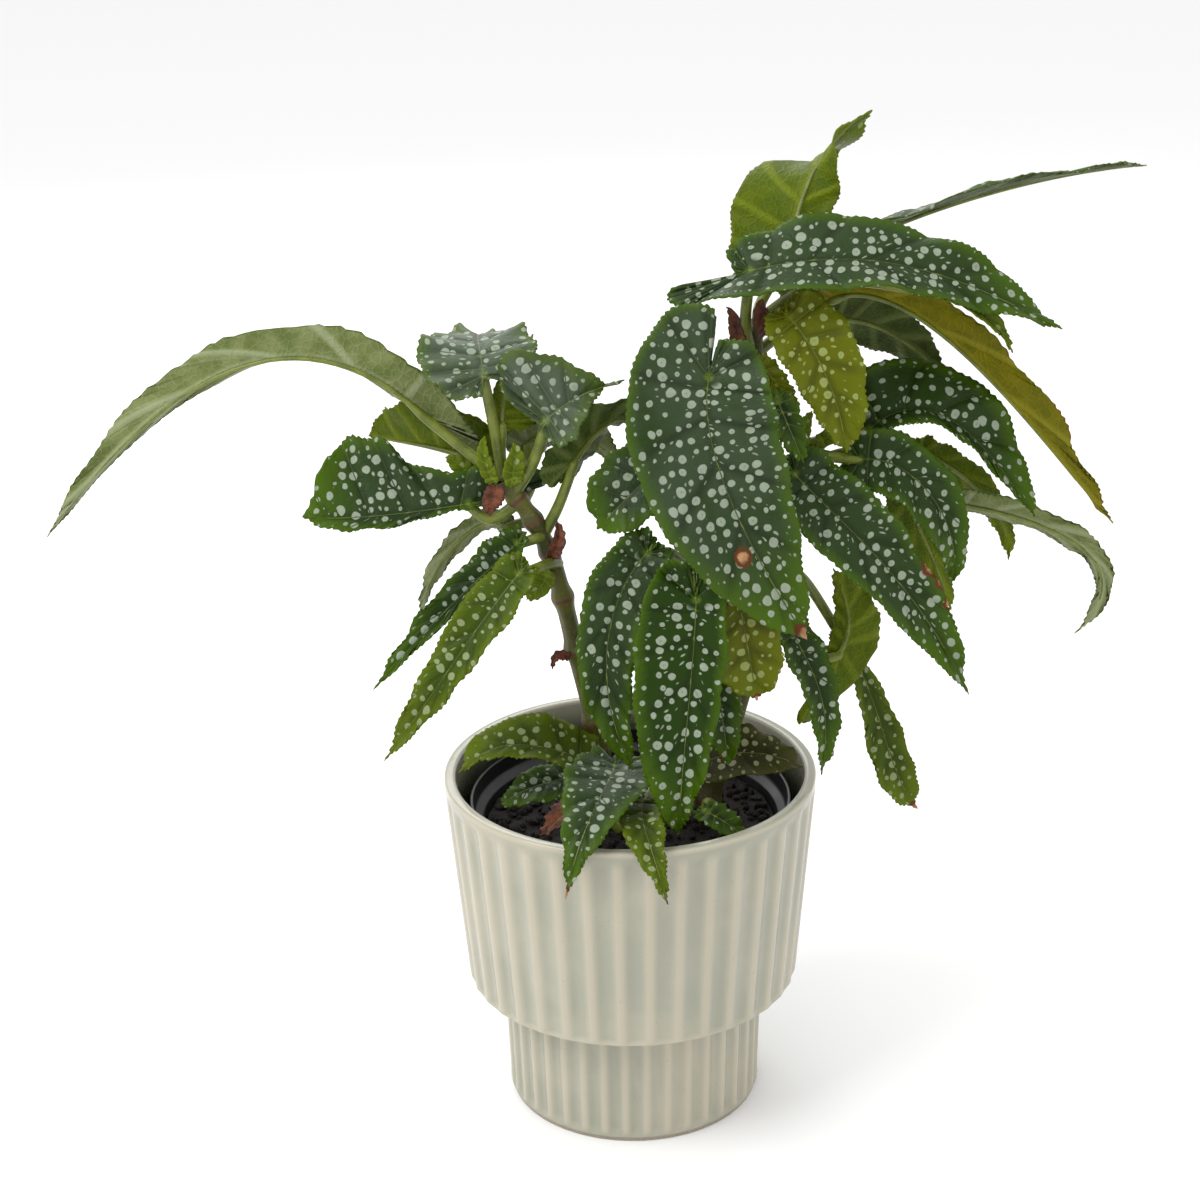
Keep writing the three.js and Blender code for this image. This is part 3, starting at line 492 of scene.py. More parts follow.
# ---------------------------------------------------------------------------------------------
# Materials
# ---------------------------------------------------------------------------------------------
class Nodes:
    """A short way to write a material's nodes."""

    def __init__(self, name):
        self.material = bpy.data.materials.new(name)
        self.material.use_nodes = True
        self.tree = self.material.node_tree
        self.shader = self.tree.nodes["Principled BSDF"]

    def add(self, kind, **settings):
        node = self.tree.nodes.new("ShaderNode" + kind)
        for key, value in settings.items():
            setattr(node, key, value)
        return node

    def link(self, source, target):
        self.tree.links.new(source, target)

    def put(self, socket, value):
        if isinstance(value, bpy.types.NodeSocket):
            self.link(value, socket)
        else:
            socket.default_value = value

    def math(self, operation, a, b=0.0, clamp=False):
        node = self.add("Math", operation=operation, use_clamp=clamp)
        self.put(node.inputs[0], a)
        self.put(node.inputs[1], b)
        return node.outputs[0]

    def step(self, value, low, high):
        """0 at low, 1 at high, smooth between. High may be the lower of the two."""
        node = self.add("MapRange", interpolation_type="SMOOTHSTEP")
        self.put(node.inputs["Value"], value)
        flip = high < low
        node.inputs["From Min"].default_value = min(low, high)
        node.inputs["From Max"].default_value = max(low, high)
        node.inputs["To Min"].default_value = 1.0 if flip else 0.0
        node.inputs["To Max"].default_value = 0.0 if flip else 1.0
        return node.outputs["Result"]

    def mix(self, factor, a, b):
        node = self.add("Mix", data_type="RGBA")
        self.put(node.inputs["Factor"], factor)
        self.put(node.inputs["A"], a)
        self.put(node.inputs["B"], b)
        return node.outputs["Result"]

    def uv(self, name):
        return self.add("UVMap", uv_map=name).outputs["UV"]

    def attribute(self, name):
        return self.add("Attribute", attribute_name=name).outputs["Fac"]

    def object_place(self):
        return self.add("TexCoord").outputs["Object"]

    def noise(self, vector, scale, detail=3.0, roughness=0.5):
        node = self.add("TexNoise")
        self.put(node.inputs["Vector"], vector)
        node.inputs["Scale"].default_value = scale
        node.inputs["Detail"].default_value = detail
        node.inputs["Roughness"].default_value = roughness
        return node.outputs["Fac"]

    def cells(self, vector, scale, feature="F1", dimensions="3D"):
        node = self.add("TexVoronoi", feature=feature, voronoi_dimensions=dimensions)
        self.put(node.inputs["Vector"], vector)
        node.inputs["Scale"].default_value = scale
        return node

    def warp(self, vector, scale, amount):
        """The vector pushed about by a noise, by up to amount."""
        noise = self.add("TexNoise")
        self.put(noise.inputs["Vector"], vector)
        noise.inputs["Scale"].default_value = scale
        centred = self.add("VectorMath", operation="SUBTRACT")
        self.link(noise.outputs["Color"], centred.inputs[0])
        centred.inputs[1].default_value = (0.5, 0.5, 0.5)
        scaled = self.add("VectorMath", operation="SCALE")
        self.link(centred.outputs[0], scaled.inputs[0])
        scaled.inputs["Scale"].default_value = amount
        moved = self.add("VectorMath", operation="ADD")
        self.put(moved.inputs[0], vector)
        self.link(scaled.outputs[0], moved.inputs[1])
        return moved.outputs[0]

    def bump(self, height, distance, strength=1.0, normal=None):
        node = self.add("Bump")
        self.put(node.inputs["Height"], height)
        node.inputs["Distance"].default_value = distance
        node.inputs["Strength"].default_value = strength
        if normal is not None:
            self.link(normal, node.inputs["Normal"])
        return node.outputs["Normal"]


def colour(r, g, b):
    """A colour given as it looks on screen, 0 to 255, made linear."""
    values = np.array([r, g, b]) / 255
    linear = np.where(values <= 0.04045, values / 12.92, ((values + 0.055) / 1.055) ** 2.4)
    return (*linear.tolist(), 1.0)


def spots(n, place, cell, small, large, share, shrink):
    """Round spots, one or none to a cell: cell is the spacing in metres, small and large the
    radii, share how many cells hold one, and shrink a mask that makes them smaller. Gives the
    spot, its paler rim's hollow middle and the way left to the nearest spot's edge."""
    voronoi = n.cells(n.warp(place, 260, 0.0014), 1 / cell, dimensions="2D")
    voronoi.inputs["Randomness"].default_value = 0.62
    parts = n.add("SeparateColor")
    n.link(voronoi.outputs["Color"], parts.inputs[0])
    distance = n.math("MULTIPLY", voronoi.outputs["Distance"], cell)
    radius = n.math("ADD", n.math("MULTIPLY", parts.outputs[0], large - small), small)
    radius = n.math("MULTIPLY", radius, shrink)
    kept = n.math("LESS_THAN", parts.outputs[1], share)
    gap = n.math("SUBTRACT", distance, radius)
    spot = n.math("MULTIPLY", n.step(gap, 0.0001, -0.00025), kept)
    middle = n.step(distance, 0.0005, 0.0001)
    ringed = n.math("GREATER_THAN", parts.outputs[2], 0.6)
    hollow = n.math("MULTIPLY", middle, ringed)
    return spot, n.math("MULTIPLY", hollow, spot), gap


def leaf_upper(name, body, sheen_colour, margin, spot_colour, vein_colour, share, gloss):
    """The upper side: body colour with a painted grey sheen for the sky's reflection, painted shade in the
    vein furrows, silver spots, thin veins, a green margin and burnt patches."""
    n = Nodes(name)
    flat = n.uv("flat")
    rays = n.uv("rays")
    vein = n.attribute("vein")
    edge = n.attribute("edge")
    tip = n.attribute("tipward")
    base = n.attribute("base")
    bloom = n.attribute("bloom")
    cloud = n.noise(flat, 70, 4)
    # Painted sheen: a grey film in cloudy patches, standing for the sky's reflection.
    sheen_patches = n.math("MULTIPLY", bloom, n.step(cloud, 0.1, 0.6))
    tone = n.mix(sheen_patches, body, sheen_colour)
    tone = n.mix(n.math("MULTIPLY", n.step(tip, 0.6, 1.0), 0.75), tone, margin)
    # Painted shade: the furrows along the veins darkened within 3 mm of a vein.
    painted_vein_shade = n.step(vein, 0.003, 0.0)
    tone = n.mix(n.math("MULTIPLY", painted_vein_shade, 0.4), tone, colour(10, 20, 2))
    wide = n.math("ADD", n.math("MULTIPLY", tip, 0.007), 0.0035)
    near_edge = n.math("SUBTRACT", 1.0, n.math("DIVIDE", edge, wide), clamp=True)
    tone = n.mix(n.math("MULTIPLY", near_edge, 0.75), tone, margin)
    main_vein = n.step(vein, 0.0004, 0.0001)
    strength = n.math("ADD", n.math("MULTIPLY", n.step(base, 0.02, 0.0), 0.45), 0.12)
    tone = n.mix(n.math("MULTIPLY", main_vein, strength), tone, vein_colour)
    tone = n.mix(n.math("MULTIPLY", n.step(base, 0.0026, 0.0008), 0.7), tone, vein_colour)
    shrink = n.math("ADD", n.math("MULTIPLY", n.step(edge, 0.0, 0.009), 0.45), 0.55)
    large, hollow_large, gap = spots(n, flat, 0.0050, 0.0006, 0.0019, share, shrink)
    room = n.math("MULTIPLY", shrink, n.step(gap, 0.0004, 0.0012))
    small, hollow_small, _ = spots(n, rays, 0.0034, 0.0003, 0.0006, share * 0.6, room)
    dots = n.math("MAXIMUM", large, small)
    dots = n.math("MULTIPLY", dots, n.step(vein, 0.0001, 0.0004))
    dots = n.math("MULTIPLY", dots, n.step(base, 0.003, 0.006))
    hollow = n.math("MAXIMUM", hollow_large, hollow_small)
    shown = n.math("MULTIPLY", dots, n.math("SUBTRACT", 0.92, n.math("MULTIPLY", hollow, 0.35)))
    tone = n.mix(shown, tone, n.mix(n.noise(flat, 500, 2), spot_colour, n.mix(0.3, spot_colour, body)))
    grain = n.noise(flat, 420, 3)
    burn = n.math("ADD", n.attribute("burn"), n.math("MULTIPLY", n.math("SUBTRACT", grain, 0.5), 0.5))
    tone = n.mix(n.step(burn, 0.30, 0.45), tone, colour(84, 48, 20))
    tone = n.mix(n.step(burn, 0.6, 0.85), tone, n.mix(grain, colour(120, 78, 44), colour(190, 150, 110)))
    n.link(tone, n.shader.inputs["Base Color"])
    n.put(n.shader.inputs["Roughness"], n.math("ADD", n.math("MULTIPLY", cloud, 0.15), gloss))
    net = n.cells(n.warp(flat, 300, 0.0015), 380, "DISTANCE_TO_EDGE", "2D").outputs["Distance"]
    fine = n.bump(n.step(net, 0.0, 0.3), 0.00012, 0.5)
    raised = n.bump(dots, 0.00012, 0.6, fine)
    n.link(raised, n.shader.inputs["Normal"])
    n.shader.inputs["Specular IOR Level"].default_value = 0.12
    return n.material


def leaf_under(name, body, deep, vein_colour, margin):
    """The underside: pale, with light raised veins, darker fields between and a thin rim."""
    n = Nodes(name)
    flat = n.uv("flat")
    vein = n.attribute("vein")
    edge = n.attribute("edge")
    cloud = n.noise(flat, 140, 4)
    tone = n.mix(n.step(cloud, 0.3, 0.7), body, deep)
    tone = n.mix(n.step(edge, 0.0010, 0.0002), tone, margin)
    tone = n.mix(n.math("MULTIPLY", n.step(vein, 0.0022, 0.0003), 0.6), tone, vein_colour)
    net = n.cells(n.warp(flat, 250, 0.002), 330, "DISTANCE_TO_EDGE", "2D").outputs["Distance"]
    tone = n.mix(n.math("MULTIPLY", n.step(net, 0.10, 0.0), 0.22), tone, vein_colour)
    n.link(tone, n.shader.inputs["Base Color"])
    n.shader.inputs["Roughness"].default_value = 0.5
    n.shader.inputs["Specular IOR Level"].default_value = 0.12
    n.link(n.bump(n.step(net, 0.2, 0.0), 0.00025, 0.6), n.shader.inputs["Normal"])
    return n.material


def stalk_skin(name, light, dark):
    """Fleshy stalk: fine long streaks and small flecks."""
    n = Nodes(name)
    place = n.object_place()
    streak = n.noise(place, 160, 3)
    tone = n.mix(n.step(streak, 0.35, 0.65), dark, light)
    fleck = n.step(n.cells(place, 900).outputs["Distance"], 0.28, 0.18)
    tone = n.mix(n.math("MULTIPLY", fleck, 0.3), tone, colour(150, 146, 84))
    n.link(tone, n.shader.inputs["Base Color"])
    n.shader.inputs["Roughness"].default_value = 0.42
    n.link(n.bump(streak, 0.0003, 0.5), n.shader.inputs["Normal"])
    return n.material


def cane_skin():
    """Olive cane, browner towards the soil, with corky rings at the joints."""
    n = Nodes("cane_skin")
    place = n.object_place()
    ring = n.attribute("ring")
    low = n.attribute("low")
    cloud = n.noise(place, 70, 5, 0.6)
    tone = n.mix(n.step(cloud, 0.35, 0.65), colour(56, 58, 0), colour(86, 86, 6))
    tone = n.mix(n.math("MULTIPLY", low, 0.6), tone, colour(50, 42, 14))
    fleck = n.step(n.cells(place, 700).outputs["Distance"], 0.30, 0.15)
    tone = n.mix(n.math("MULTIPLY", fleck, 0.35), tone, colour(120, 112, 54))
    bark = n.mix(n.noise(place, 400, 4), colour(44, 20, 8), colour(112, 62, 32))
    scar = n.step(n.math("ADD", ring, n.math("MULTIPLY", n.noise(place, 260, 3), 0.35)), 0.85, 1.08)
    tone = n.mix(scar, tone, bark)
    n.link(tone, n.shader.inputs["Base Color"])
    n.shader.inputs["Roughness"].default_value = 0.55
    n.link(n.bump(n.noise(place, 520, 5, 0.6), 0.0006, 0.6), n.shader.inputs["Normal"])
    return n.material


def dry_scale():
    """Dry red-brown bract, papery, darker at its edge."""
    n = Nodes("dry_scale")
    flat = n.uv("flat")
    cloud = n.noise(flat, 260, 5, 0.6)
    tone = n.mix(n.step(cloud, 0.3, 0.7), colour(48, 20, 8), colour(122, 62, 28))
    tone = n.mix(n.step(n.attribute("edge"), 0.0008, 0.0), tone, colour(58, 30, 18))
    n.link(tone, n.shader.inputs["Base Color"])
    n.shader.inputs["Roughness"].default_value = 0.7
    n.link(n.bump(cloud, 0.0008, 0.8), n.shader.inputs["Normal"])
    return n.material


def glaze():
    """Sage glaze that runs thin and warm over the ribs' crests and the rim, pooled in the flutes; painted
    highlight lines along the rim's and the step's outer edges, and painted shade darkening the inside below
    the rim.
    """
    n = Nodes("glazed_ceramic")
    place = n.object_place()
    crest = n.attribute("crest")
    inner = n.attribute("inner")
    pool = n.noise(place, 28, 4, 0.55)
    tone = n.mix(n.step(pool, 0.35, 0.68), colour(148, 148, 132), colour(160, 157, 140))
    blush = n.noise(place, 14, 2)
    tone = n.mix(n.math("MULTIPLY", n.step(blush, 0.5, 0.72), 0.3), tone, colour(170, 161, 143))
    # Lighter on the rib crests where the glaze runs thin, and painted highlight lines along the rim's and
    # the step's outer edges.
    tone = n.mix(n.math("MULTIPLY", crest, 0.75), tone, colour(178, 170, 150))
    speck = n.step(n.cells(place, 260).outputs["Distance"], 0.11, 0.05)
    tone = n.mix(n.math("MULTIPLY", speck, 0.35), tone, colour(128, 120, 100))
    # Painted shade: the inside of the pot darkened below the rim.
    tone = n.mix(n.math("MULTIPLY", inner, 0.9), tone, colour(58, 62, 46))
    n.link(tone, n.shader.inputs["Base Color"])
    n.put(n.shader.inputs["Roughness"], n.math("ADD", n.math("MULTIPLY", pool, 0.10), 0.13))
    n.shader.inputs["Specular IOR Level"].default_value = 0.55
    n.link(n.bump(n.noise(place, 120, 3), 0.00035, 0.35), n.shader.inputs["Normal"])
    return n.material


def bisque():
    """The bare fired ring under the foot."""
    n = Nodes("bisque")
    place = n.object_place()
    grain = n.noise(place, 900, 4)
    n.link(n.mix(grain, colour(120, 112, 98), colour(168, 158, 140)), n.shader.inputs["Base Color"])
    n.shader.inputs["Roughness"].default_value = 0.9
    n.link(n.bump(grain, 0.0002, 0.6), n.shader.inputs["Normal"])
    return n.material


def black_plastic():
    """Thin moulded plastic, with a fine grain and faint dusty patches."""
    n = Nodes("black_plastic")
    place = n.object_place()
    dust = n.noise(place, 50, 5, 0.65)
    tone = n.mix(n.step(dust, 0.5, 0.8), colour(10, 11, 12), colour(30, 29, 27))
    n.link(tone, n.shader.inputs["Base Color"])
    n.put(n.shader.inputs["Roughness"], n.math("ADD", n.math("MULTIPLY", dust, 0.3), 0.3))
    n.link(n.bump(n.noise(place, 1400, 2), 0.0001, 0.5), n.shader.inputs["Normal"])
    return n.material


def potting_soil():
    """Bark and peat, near-black partly for their own colour and partly as painted shade under the leaves
    and rim, with a few tan fibres.
    """
    n = Nodes("potting_soil")
    place = n.object_place()
    grain = n.noise(place, 300, 6, 0.7)
    # Near-black tones: partly dark peat, partly painted shade of the rim and leaves.
    tone = n.mix(n.step(grain, 0.3, 0.7), colour(9, 7, 5), colour(30, 22, 15))
    fibre = n.step(n.cells(place, 420).outputs["Distance"], 0.16, 0.08)
    tone = n.mix(n.math("MULTIPLY", fibre, 0.35), tone, colour(66, 48, 30))
    n.link(tone, n.shader.inputs["Base Color"])
    n.shader.inputs["Roughness"].default_value = 0.95
    n.link(n.bump(grain, 0.0015, 1.0), n.shader.inputs["Normal"])
    return n.material


SILVER = colour(148, 158, 140)
# Painted sheen colour: the grey film that stands for the sky's reflection on the leaves.
PAINTED_SHEEN_GREY = colour(50, 64, 42)
UPPER = {
    "dark": leaf_upper("leaf_dark", colour(28, 50, 0), PAINTED_SHEEN_GREY, colour(62, 88, 0), SILVER,
                       colour(84, 104, 30), 0.97, 0.36),
    # This greyer copy's body and sheen colours are painted sheen for leaves that face the sky.
    "grey": leaf_upper("leaf_grey", colour(44, 62, 16), colour(74, 86, 68), colour(72, 92, 24), SILVER,
                       colour(100, 116, 70), 0.97, 0.34),
    "olive": leaf_upper("leaf_olive", colour(84, 92, 0), colour(94, 94, 2), colour(94, 102, 4),
                        colour(146, 156, 92), colour(108, 116, 22), 0.97, 0.4),
    # This lighter, yellower copy is painted glow, standing for light shining through back-lit leaves.
    "lime": leaf_upper("leaf_lime_painted_backlight", colour(72, 92, 4), colour(84, 98, 20), colour(96, 112, 14),
                       colour(140, 154, 100), colour(114, 130, 40), 0.6, 0.4),
    "moss": leaf_upper("leaf_moss", colour(54, 72, 0), colour(66, 78, 20), colour(84, 100, 4),
                       colour(134, 144, 104), colour(92, 106, 30), 0.97, 0.4),
    "bronze": leaf_upper("leaf_bronze", colour(38, 40, 6), colour(58, 58, 26), colour(62, 64, 20),
                         colour(138, 138, 108), colour(90, 88, 44), 0.97, 0.4),
}
UPPER["pale"] = UPPER["dark"]
UNDER = {
    "dark": leaf_under("under_green", colour(66, 82, 30), colour(48, 62, 16), colour(100, 112, 60),
                       colour(52, 68, 16)),
    "grey": leaf_under("under_grey", colour(78, 88, 58), colour(56, 66, 38), colour(110, 118, 86),
                       colour(58, 68, 28)),
    "olive": leaf_under("under_olive", colour(106, 100, 2), colour(86, 86, 0), colour(130, 124, 30),
                        colour(104, 66, 10)),
    # This lighter, yellower underside is painted glow, standing for light shining through back-lit leaves.
    "lime": leaf_under("under_lime_painted_backlight", colour(80, 94, 0), colour(64, 82, 0), colour(106, 118, 18),
                       colour(80, 82, 8)),
    "pale": leaf_under("under_pale", colour(112, 120, 74), colour(86, 98, 48), colour(146, 152, 118),
                       colour(68, 84, 24)),
}
DRY = dry_scale()
UPPER["dry"] = DRY
UNDER["dry"] = DRY
UNDER["bronze"] = UNDER["dark"]
UNDER["moss"] = UNDER["dark"]
STALK = stalk_skin("stalk_skin", colour(104, 114, 30), colour(80, 92, 14))

# How much painted grey sheen, standing for the sky's reflection, lies on a leaf, 0.3 where it is left out.
PAINTED_SHEEN_AMOUNT = {
    "leaf_right_13": 1.0, "leaf_right_14": 1.0, "leaf_left_3": 0.6, "leaf_right_8": 0.2,
    "leaf_right_15": 0.45,
    "leaf_front_1": 0.0, "leaf_front_2": 0.45, "leaf_low_4": 0.9, "leaf_left_9": 0.1, "leaf_left_10": 0.1,
    "leaf_left_4": 1.0, "leaf_left_6": 1.0, "leaf_right_2": 0.6, "leaf_right_3": 0.9,
}
# Leaves whose skins are another pair than their slot's.
SKIN = {
    "leaf_left_10": "moss",
    "leaf_low_6": "bronze", "leaf_left_7": "dark", "leaf_right_17": "moss", "leaf_low_1": "moss",
    "leaf_low_5": "moss", "leaf_right_2": "dark", "leaf_right_5": "dark",
}
# Burnt patches: share of the leaf's length, millimetres to the right of the midrib, radius.
BURNS = {
    "leaf_right_13": [(0.68, 5, 3.4), (1.0, 0, 6)],
    "leaf_right_15": [(0.62, -13, 4), (0.68, -12.5, 3), (0.75, -11, 3)],
    "leaf_right_3": [(1.0, 0, 4)],
    "leaf_right_4": [(1.0, 0, 5)],
    "leaf_right_17": [(1.0, 0, 4)],
    "leaf_low_4": [(1.0, 0, 4)],
    "leaf_right_20": [(1.0, 0, 3)],
    "leaf_front_3": [(0.9, 6, 4)],
}


# ---------------------------------------------------------------------------------------------
# Leaves
# ---------------------------------------------------------------------------------------------
def half_outline(leaf, side, length, share):
    """One half's edge in the flat leaf: along the midrib and across it, a smooth curve through
    the outline points scaled by the ear, the length, the half width and the belly."""
    key = HALF_OUTLINE.copy()
    ear = leaf["lobe"][side]
    key[:, 0] *= np.where(key[:, 0] < 0, ear, length)
    key[:, 1] = (key[:, 1] + leaf.get("belly", 0) * BELLY_SHIFT) * leaf["half"][side]
    return catmull(key, share)


def toothed(edge, share, random, depth):
    """The edge pushed out along its own normal by a saw of teeth and by slow shallow lobes."""
    walked = walked_along(edge)
    normal = unit(np.gradient(edge, axis=0))[:, ::-1] * np.array([-1, 1])
    phase = walked / TOOTH_PITCH + 0.35 * np.sin(walked / 7 + random.uniform(0, TAU))
    saw = phase % 1
    tooth = np.where(saw < 0.72, saw / 0.72, (1 - saw) / 0.28) - 0.5
    lobe = np.sin(share * VEINS * TAU + 0.6 * np.sin(walked / 11))
    fade = smooth(0, 0.08, share) * smooth(1, 0.97, share)
    return edge + normal * (fade * depth * (TOOTH_DEPTH * tooth + LOBE_DEPTH * lobe))[:, None]


def leaf_surface(leaf, random, rows, columns, teeth=1.0):
    """The blade as a grid: rows run round the edge from stalk to tip, columns from the left edge
    over the midrib to the right edge. Each row is a straight ray from a midrib place to the
    edge. Rays lie on the bent midrib, each half raised by its fold, and the surface is lowered
    along the veins, puffed between them and ruffled towards the edge."""
    length = curve_length(leaf["midrib"])
    share = np.linspace(0, 1, rows + 1)
    across = np.linspace(0, 1, columns + 1)
    rib = length * np.clip((share - FAN_SHARE) / (1 - FAN_SHARE), 0, 1) ** RIB_SPREAD
    halves = []
    for index, side in ((0, -1), (1, 1)):
        smooth_edge = half_outline(leaf, index, length, share)
        walked = walked_along(smooth_edge)
        edge = toothed(smooth_edge, share, random, teeth)
        start = np.stack([rib, np.zeros_like(rib)], -1)
        flat = start[:, None] * (1 - across)[None, :, None] + edge[:, None] * across[None, :, None]
        ray = edge - start
        reach = np.linalg.norm(ray, axis=1)
        drift = np.gradient(flat, share, axis=0)
        square = unit(ray)[:, ::-1] * np.array([-1, 1])
        spread = np.abs((drift * square[:, None]).sum(-1))
        phase = (share * VEINS) % 1 - 0.5
        vein = np.abs(phase)[:, None] / VEINS * spread
        middle = np.abs(flat[..., 1])
        vein = np.minimum(vein, np.where(flat[..., 0] > 0, middle, 1e3))
        s = flat[..., 0]
        t = flat[..., 1]
        place, direction = midrib(leaf["midrib"], np.clip(s / length, 0, 1))
        place = place + direction * np.minimum(s, 0)[..., None]
        turn = (np.clip(s / length, 0, 1) ** 2)[..., None]
        face_base = np.array(leaf["face"], float)
        face_tip = np.array(leaf.get("faceTip", leaf["face"]), float)
        face = face_base * (1 - turn) + face_tip * turn
        up = unit(face - (face * direction).sum(-1, keepdims=True) * direction)
        right = np.cross(direction, up)
        rise = np.radians(leaf["fold"][index])
        width = max(leaf["half"][index], 1)
        room = np.clip(width / 16, 0.35, 1.3) * teeth
        puff = PUFF * room * (smooth(0, 4.5, vein) - 0.5)
        groove = VEIN_GROOVE * np.exp(-((vein / VEIN_WIDTH) ** 2))
        wave = np.sin(share * VEINS * TAU * 0.5 + random.uniform(0, TAU)) + 0.6 * np.sin(
            share * VEINS * TAU + random.uniform(0, TAU))
        ruffle = RUFFLE * room * wave[:, None] * across[None, :] ** 2.2
        calm = (smooth(0, 0.06, share) * smooth(1, 0.93, share))[:, None]
        lift = t * np.sin(rise) + (puff * across[None, :] ** 0.5 - groove + ruffle) * calm
        point = place + side * right * (t * np.cos(rise))[..., None] + up * lift[..., None]
        rays = np.broadcast_arrays(side * walked[:, None] * 0.8, reach.mean() * 0.72 * across[None])
        halves.append(dict(
            point=point, flat=np.stack([s, side * t], -1), vein=vein, edge=reach[:, None] * (1 - across),
            tipward=np.clip(s / length, 0, 1), base=np.hypot(s, t),
            rays=np.stack(rays, -1),
        ))
    joined = {}
    for key in halves[0]:
        joined[key] = np.concatenate([halves[0][key][:, ::-1], halves[1][key][:, 1:]], 1)
    return joined


def stalk_path(leaf):
    """The stalk's route, then along under the midrib to 85 hundredths of the leaf."""
    stalk_share = np.linspace(0, 1, 22)
    share = np.linspace(0.02, 0.85, 26)
    place, direction = midrib(leaf["midrib"], share)
    face = np.array(leaf["face"], float)
    up = unit(face - (face * direction).sum(-1, keepdims=True) * direction)
    route = np.array(leaf["stalk"] + [leaf["midrib"][0]], float)
    route[-1] -= 1.7 * up[0]
    stalk = catmull(route, stalk_share)
    ridge = RIDGE_RADIUS * (1.25 - share) * (1 + 0.6 * (share < 0.04))
    under = place - up * (0.2 + 0.95 * ridge)[:, None]
    radius = np.concatenate([STALK_RADIUS * (1.12 - 0.22 * stalk_share), ridge])
    return np.concatenate([stalk, under]), radius


def leaf_piece(name, leaf, order):
    """One leaf: the blade as a thin two-sided sheet, and its stalk running on as the midrib."""
    random = np.random.default_rng(700 + order)
    length = curve_length(leaf["midrib"])
    size = length + max(leaf["half"]) * 1.5
    rows = VEINS * int(np.clip(round(size / 0.8 / VEINS), 8, 24))
    columns = int(np.clip(max(leaf["half"]) * 0.75, 6, 18))
    is_leaf = "stalk" in leaf
    surface = leaf_surface(leaf, random, rows, columns, 1.0 if is_leaf else 0.35)
    tint = leaf["tint"]
    upper, under = UPPER[SKIN.get(name, tint)], UNDER[SKIN.get(name, tint)]
    shape = surface["point"].shape[:2]
    points = surface["point"].reshape(-1, 3)
    faces = grid_faces(*shape)
    uvs = {"flat": surface["flat"] * MM + order * 0.31, "rays": surface["rays"] * MM + order * 0.37}
    attributes = {key: surface[key] * MM for key in ("vein", "edge", "base")}
    attributes["tipward"] = surface["tipward"]
    # Painted sheen for the sky's reflection, weaker towards the tip.
    attributes["bloom"] = PAINTED_SHEEN_AMOUNT.get(name, 0.3) * (1 - 0.75 * smooth(0.35, 1, surface["tipward"]))
    burn = np.zeros(shape)
    for along, aside, radius in BURNS.get(name, []):
        centre = np.array([along * length, aside])
        gap = np.linalg.norm(surface["flat"] - centre, axis=-1)
        burn = np.maximum(burn, np.exp(-((gap / radius) ** 2)))
    attributes["burn"] = burn
    blade = build(name, points, faces, [upper, under, STALK], uvs, attributes)
    solid = blade.modifiers.new("thickness", "SOLIDIFY")
    solid.thickness = BLADE_THICKNESS * MM
    solid.offset = 0
    solid.material_offset = 1
    solid.use_even_offset = False
    bpy.context.view_layer.update()
    evaluated = blade.evaluated_get(bpy.context.evaluated_depsgraph_get())
    thick = bpy.data.meshes.new_from_object(evaluated)
    blade.modifiers.clear()
    blade.data = thick
    if is_leaf:
        path, radius = stalk_path(leaf)
        ring, ring_faces = tube(path, radius, 10, leaf["face"])
        stem = build(name + "_stalk", ring, ring_faces, [upper, under, STALK],
                     face_slots=np.full(len(ring_faces), 2))
        join(blade, stem)
    finish_piece(blade, name)
    return blade


def join(kept, other):
    """Both meshes in one object: the second is added to the first."""
    body = bmesh.new()
    body.from_mesh(kept.data)
    body.from_mesh(other.data)
    body.to_mesh(kept.data)
    body.free()
    kept.data.update()
    bpy.data.objects.remove(other, do_unlink=True)


# ---------------------------------------------------------------------------------------------
# Canes
# ---------------------------------------------------------------------------------------------
def cane(name, route):
    """A tube along the cane's route, swollen at its joints, with fine long grooves."""
    count = 260
    sides = 28
    path = catmull(np.array(route, float), np.linspace(0, 1, count))
    walked = walked_along(path)
    total = walked[-1]
    height = path[:, 2]
    joints = np.interp(JOINT_HEIGHTS[name], height, walked)
    gap = np.abs(walked[:, None] - joints[None]).min(1)
    swell = np.exp(-((gap / NODE_LENGTH) ** 2))
    angle = np.arange(sides) / sides * TAU
    groove = 0.05 * np.sin(angle * 5 + 1.3)[None] + 0.03 * np.sin(angle * 3 + walked[:, None] / 15)
    taper = 1.12 - 0.3 * walked / total
    radius = CANE_RADIUS * taper[:, None] * (1 + NODE_SWELL * swell[:, None] + groove)
    points, faces = tube(path, radius, sides, [0.2, 1, 0.1])
    around = np.ones((1, sides))
    ring_mark = np.concatenate([[0], np.exp(-((gap / 1.6) ** 2)), [0]])[:, None] * around
    low = np.concatenate([[1], 1 - smooth(40, 120, walked), [0]])[:, None] * around
    piece = build(name, points, faces, [CANE], attributes={"ring": ring_mark, "low": low})
    finish_piece(piece, name)


# ---------------------------------------------------------------------------------------------
# Pot, nursery pot and soil
# ---------------------------------------------------------------------------------------------
def rounded(points, radius, steps=6):
    """The open outline with each inner corner replaced by an arc-like curve of the given size."""
    points = np.array(points, float)
    out = [points[:1]]
    t = np.linspace(0, 1, steps)[:, None]
    for before, corner, after, size in zip(points[:-2], points[1:-1], points[2:], radius):
        enter = corner + unit(before - corner) * min(size, np.linalg.norm(before - corner) * 0.49)
        leave = corner + unit(after - corner) * min(size, np.linalg.norm(after - corner) * 0.49)
        out.append((1 - t) ** 2 * enter + 2 * t * (1 - t) * corner + t**2 * leave)
    out.append(points[-1:])
    return np.concatenate(out)


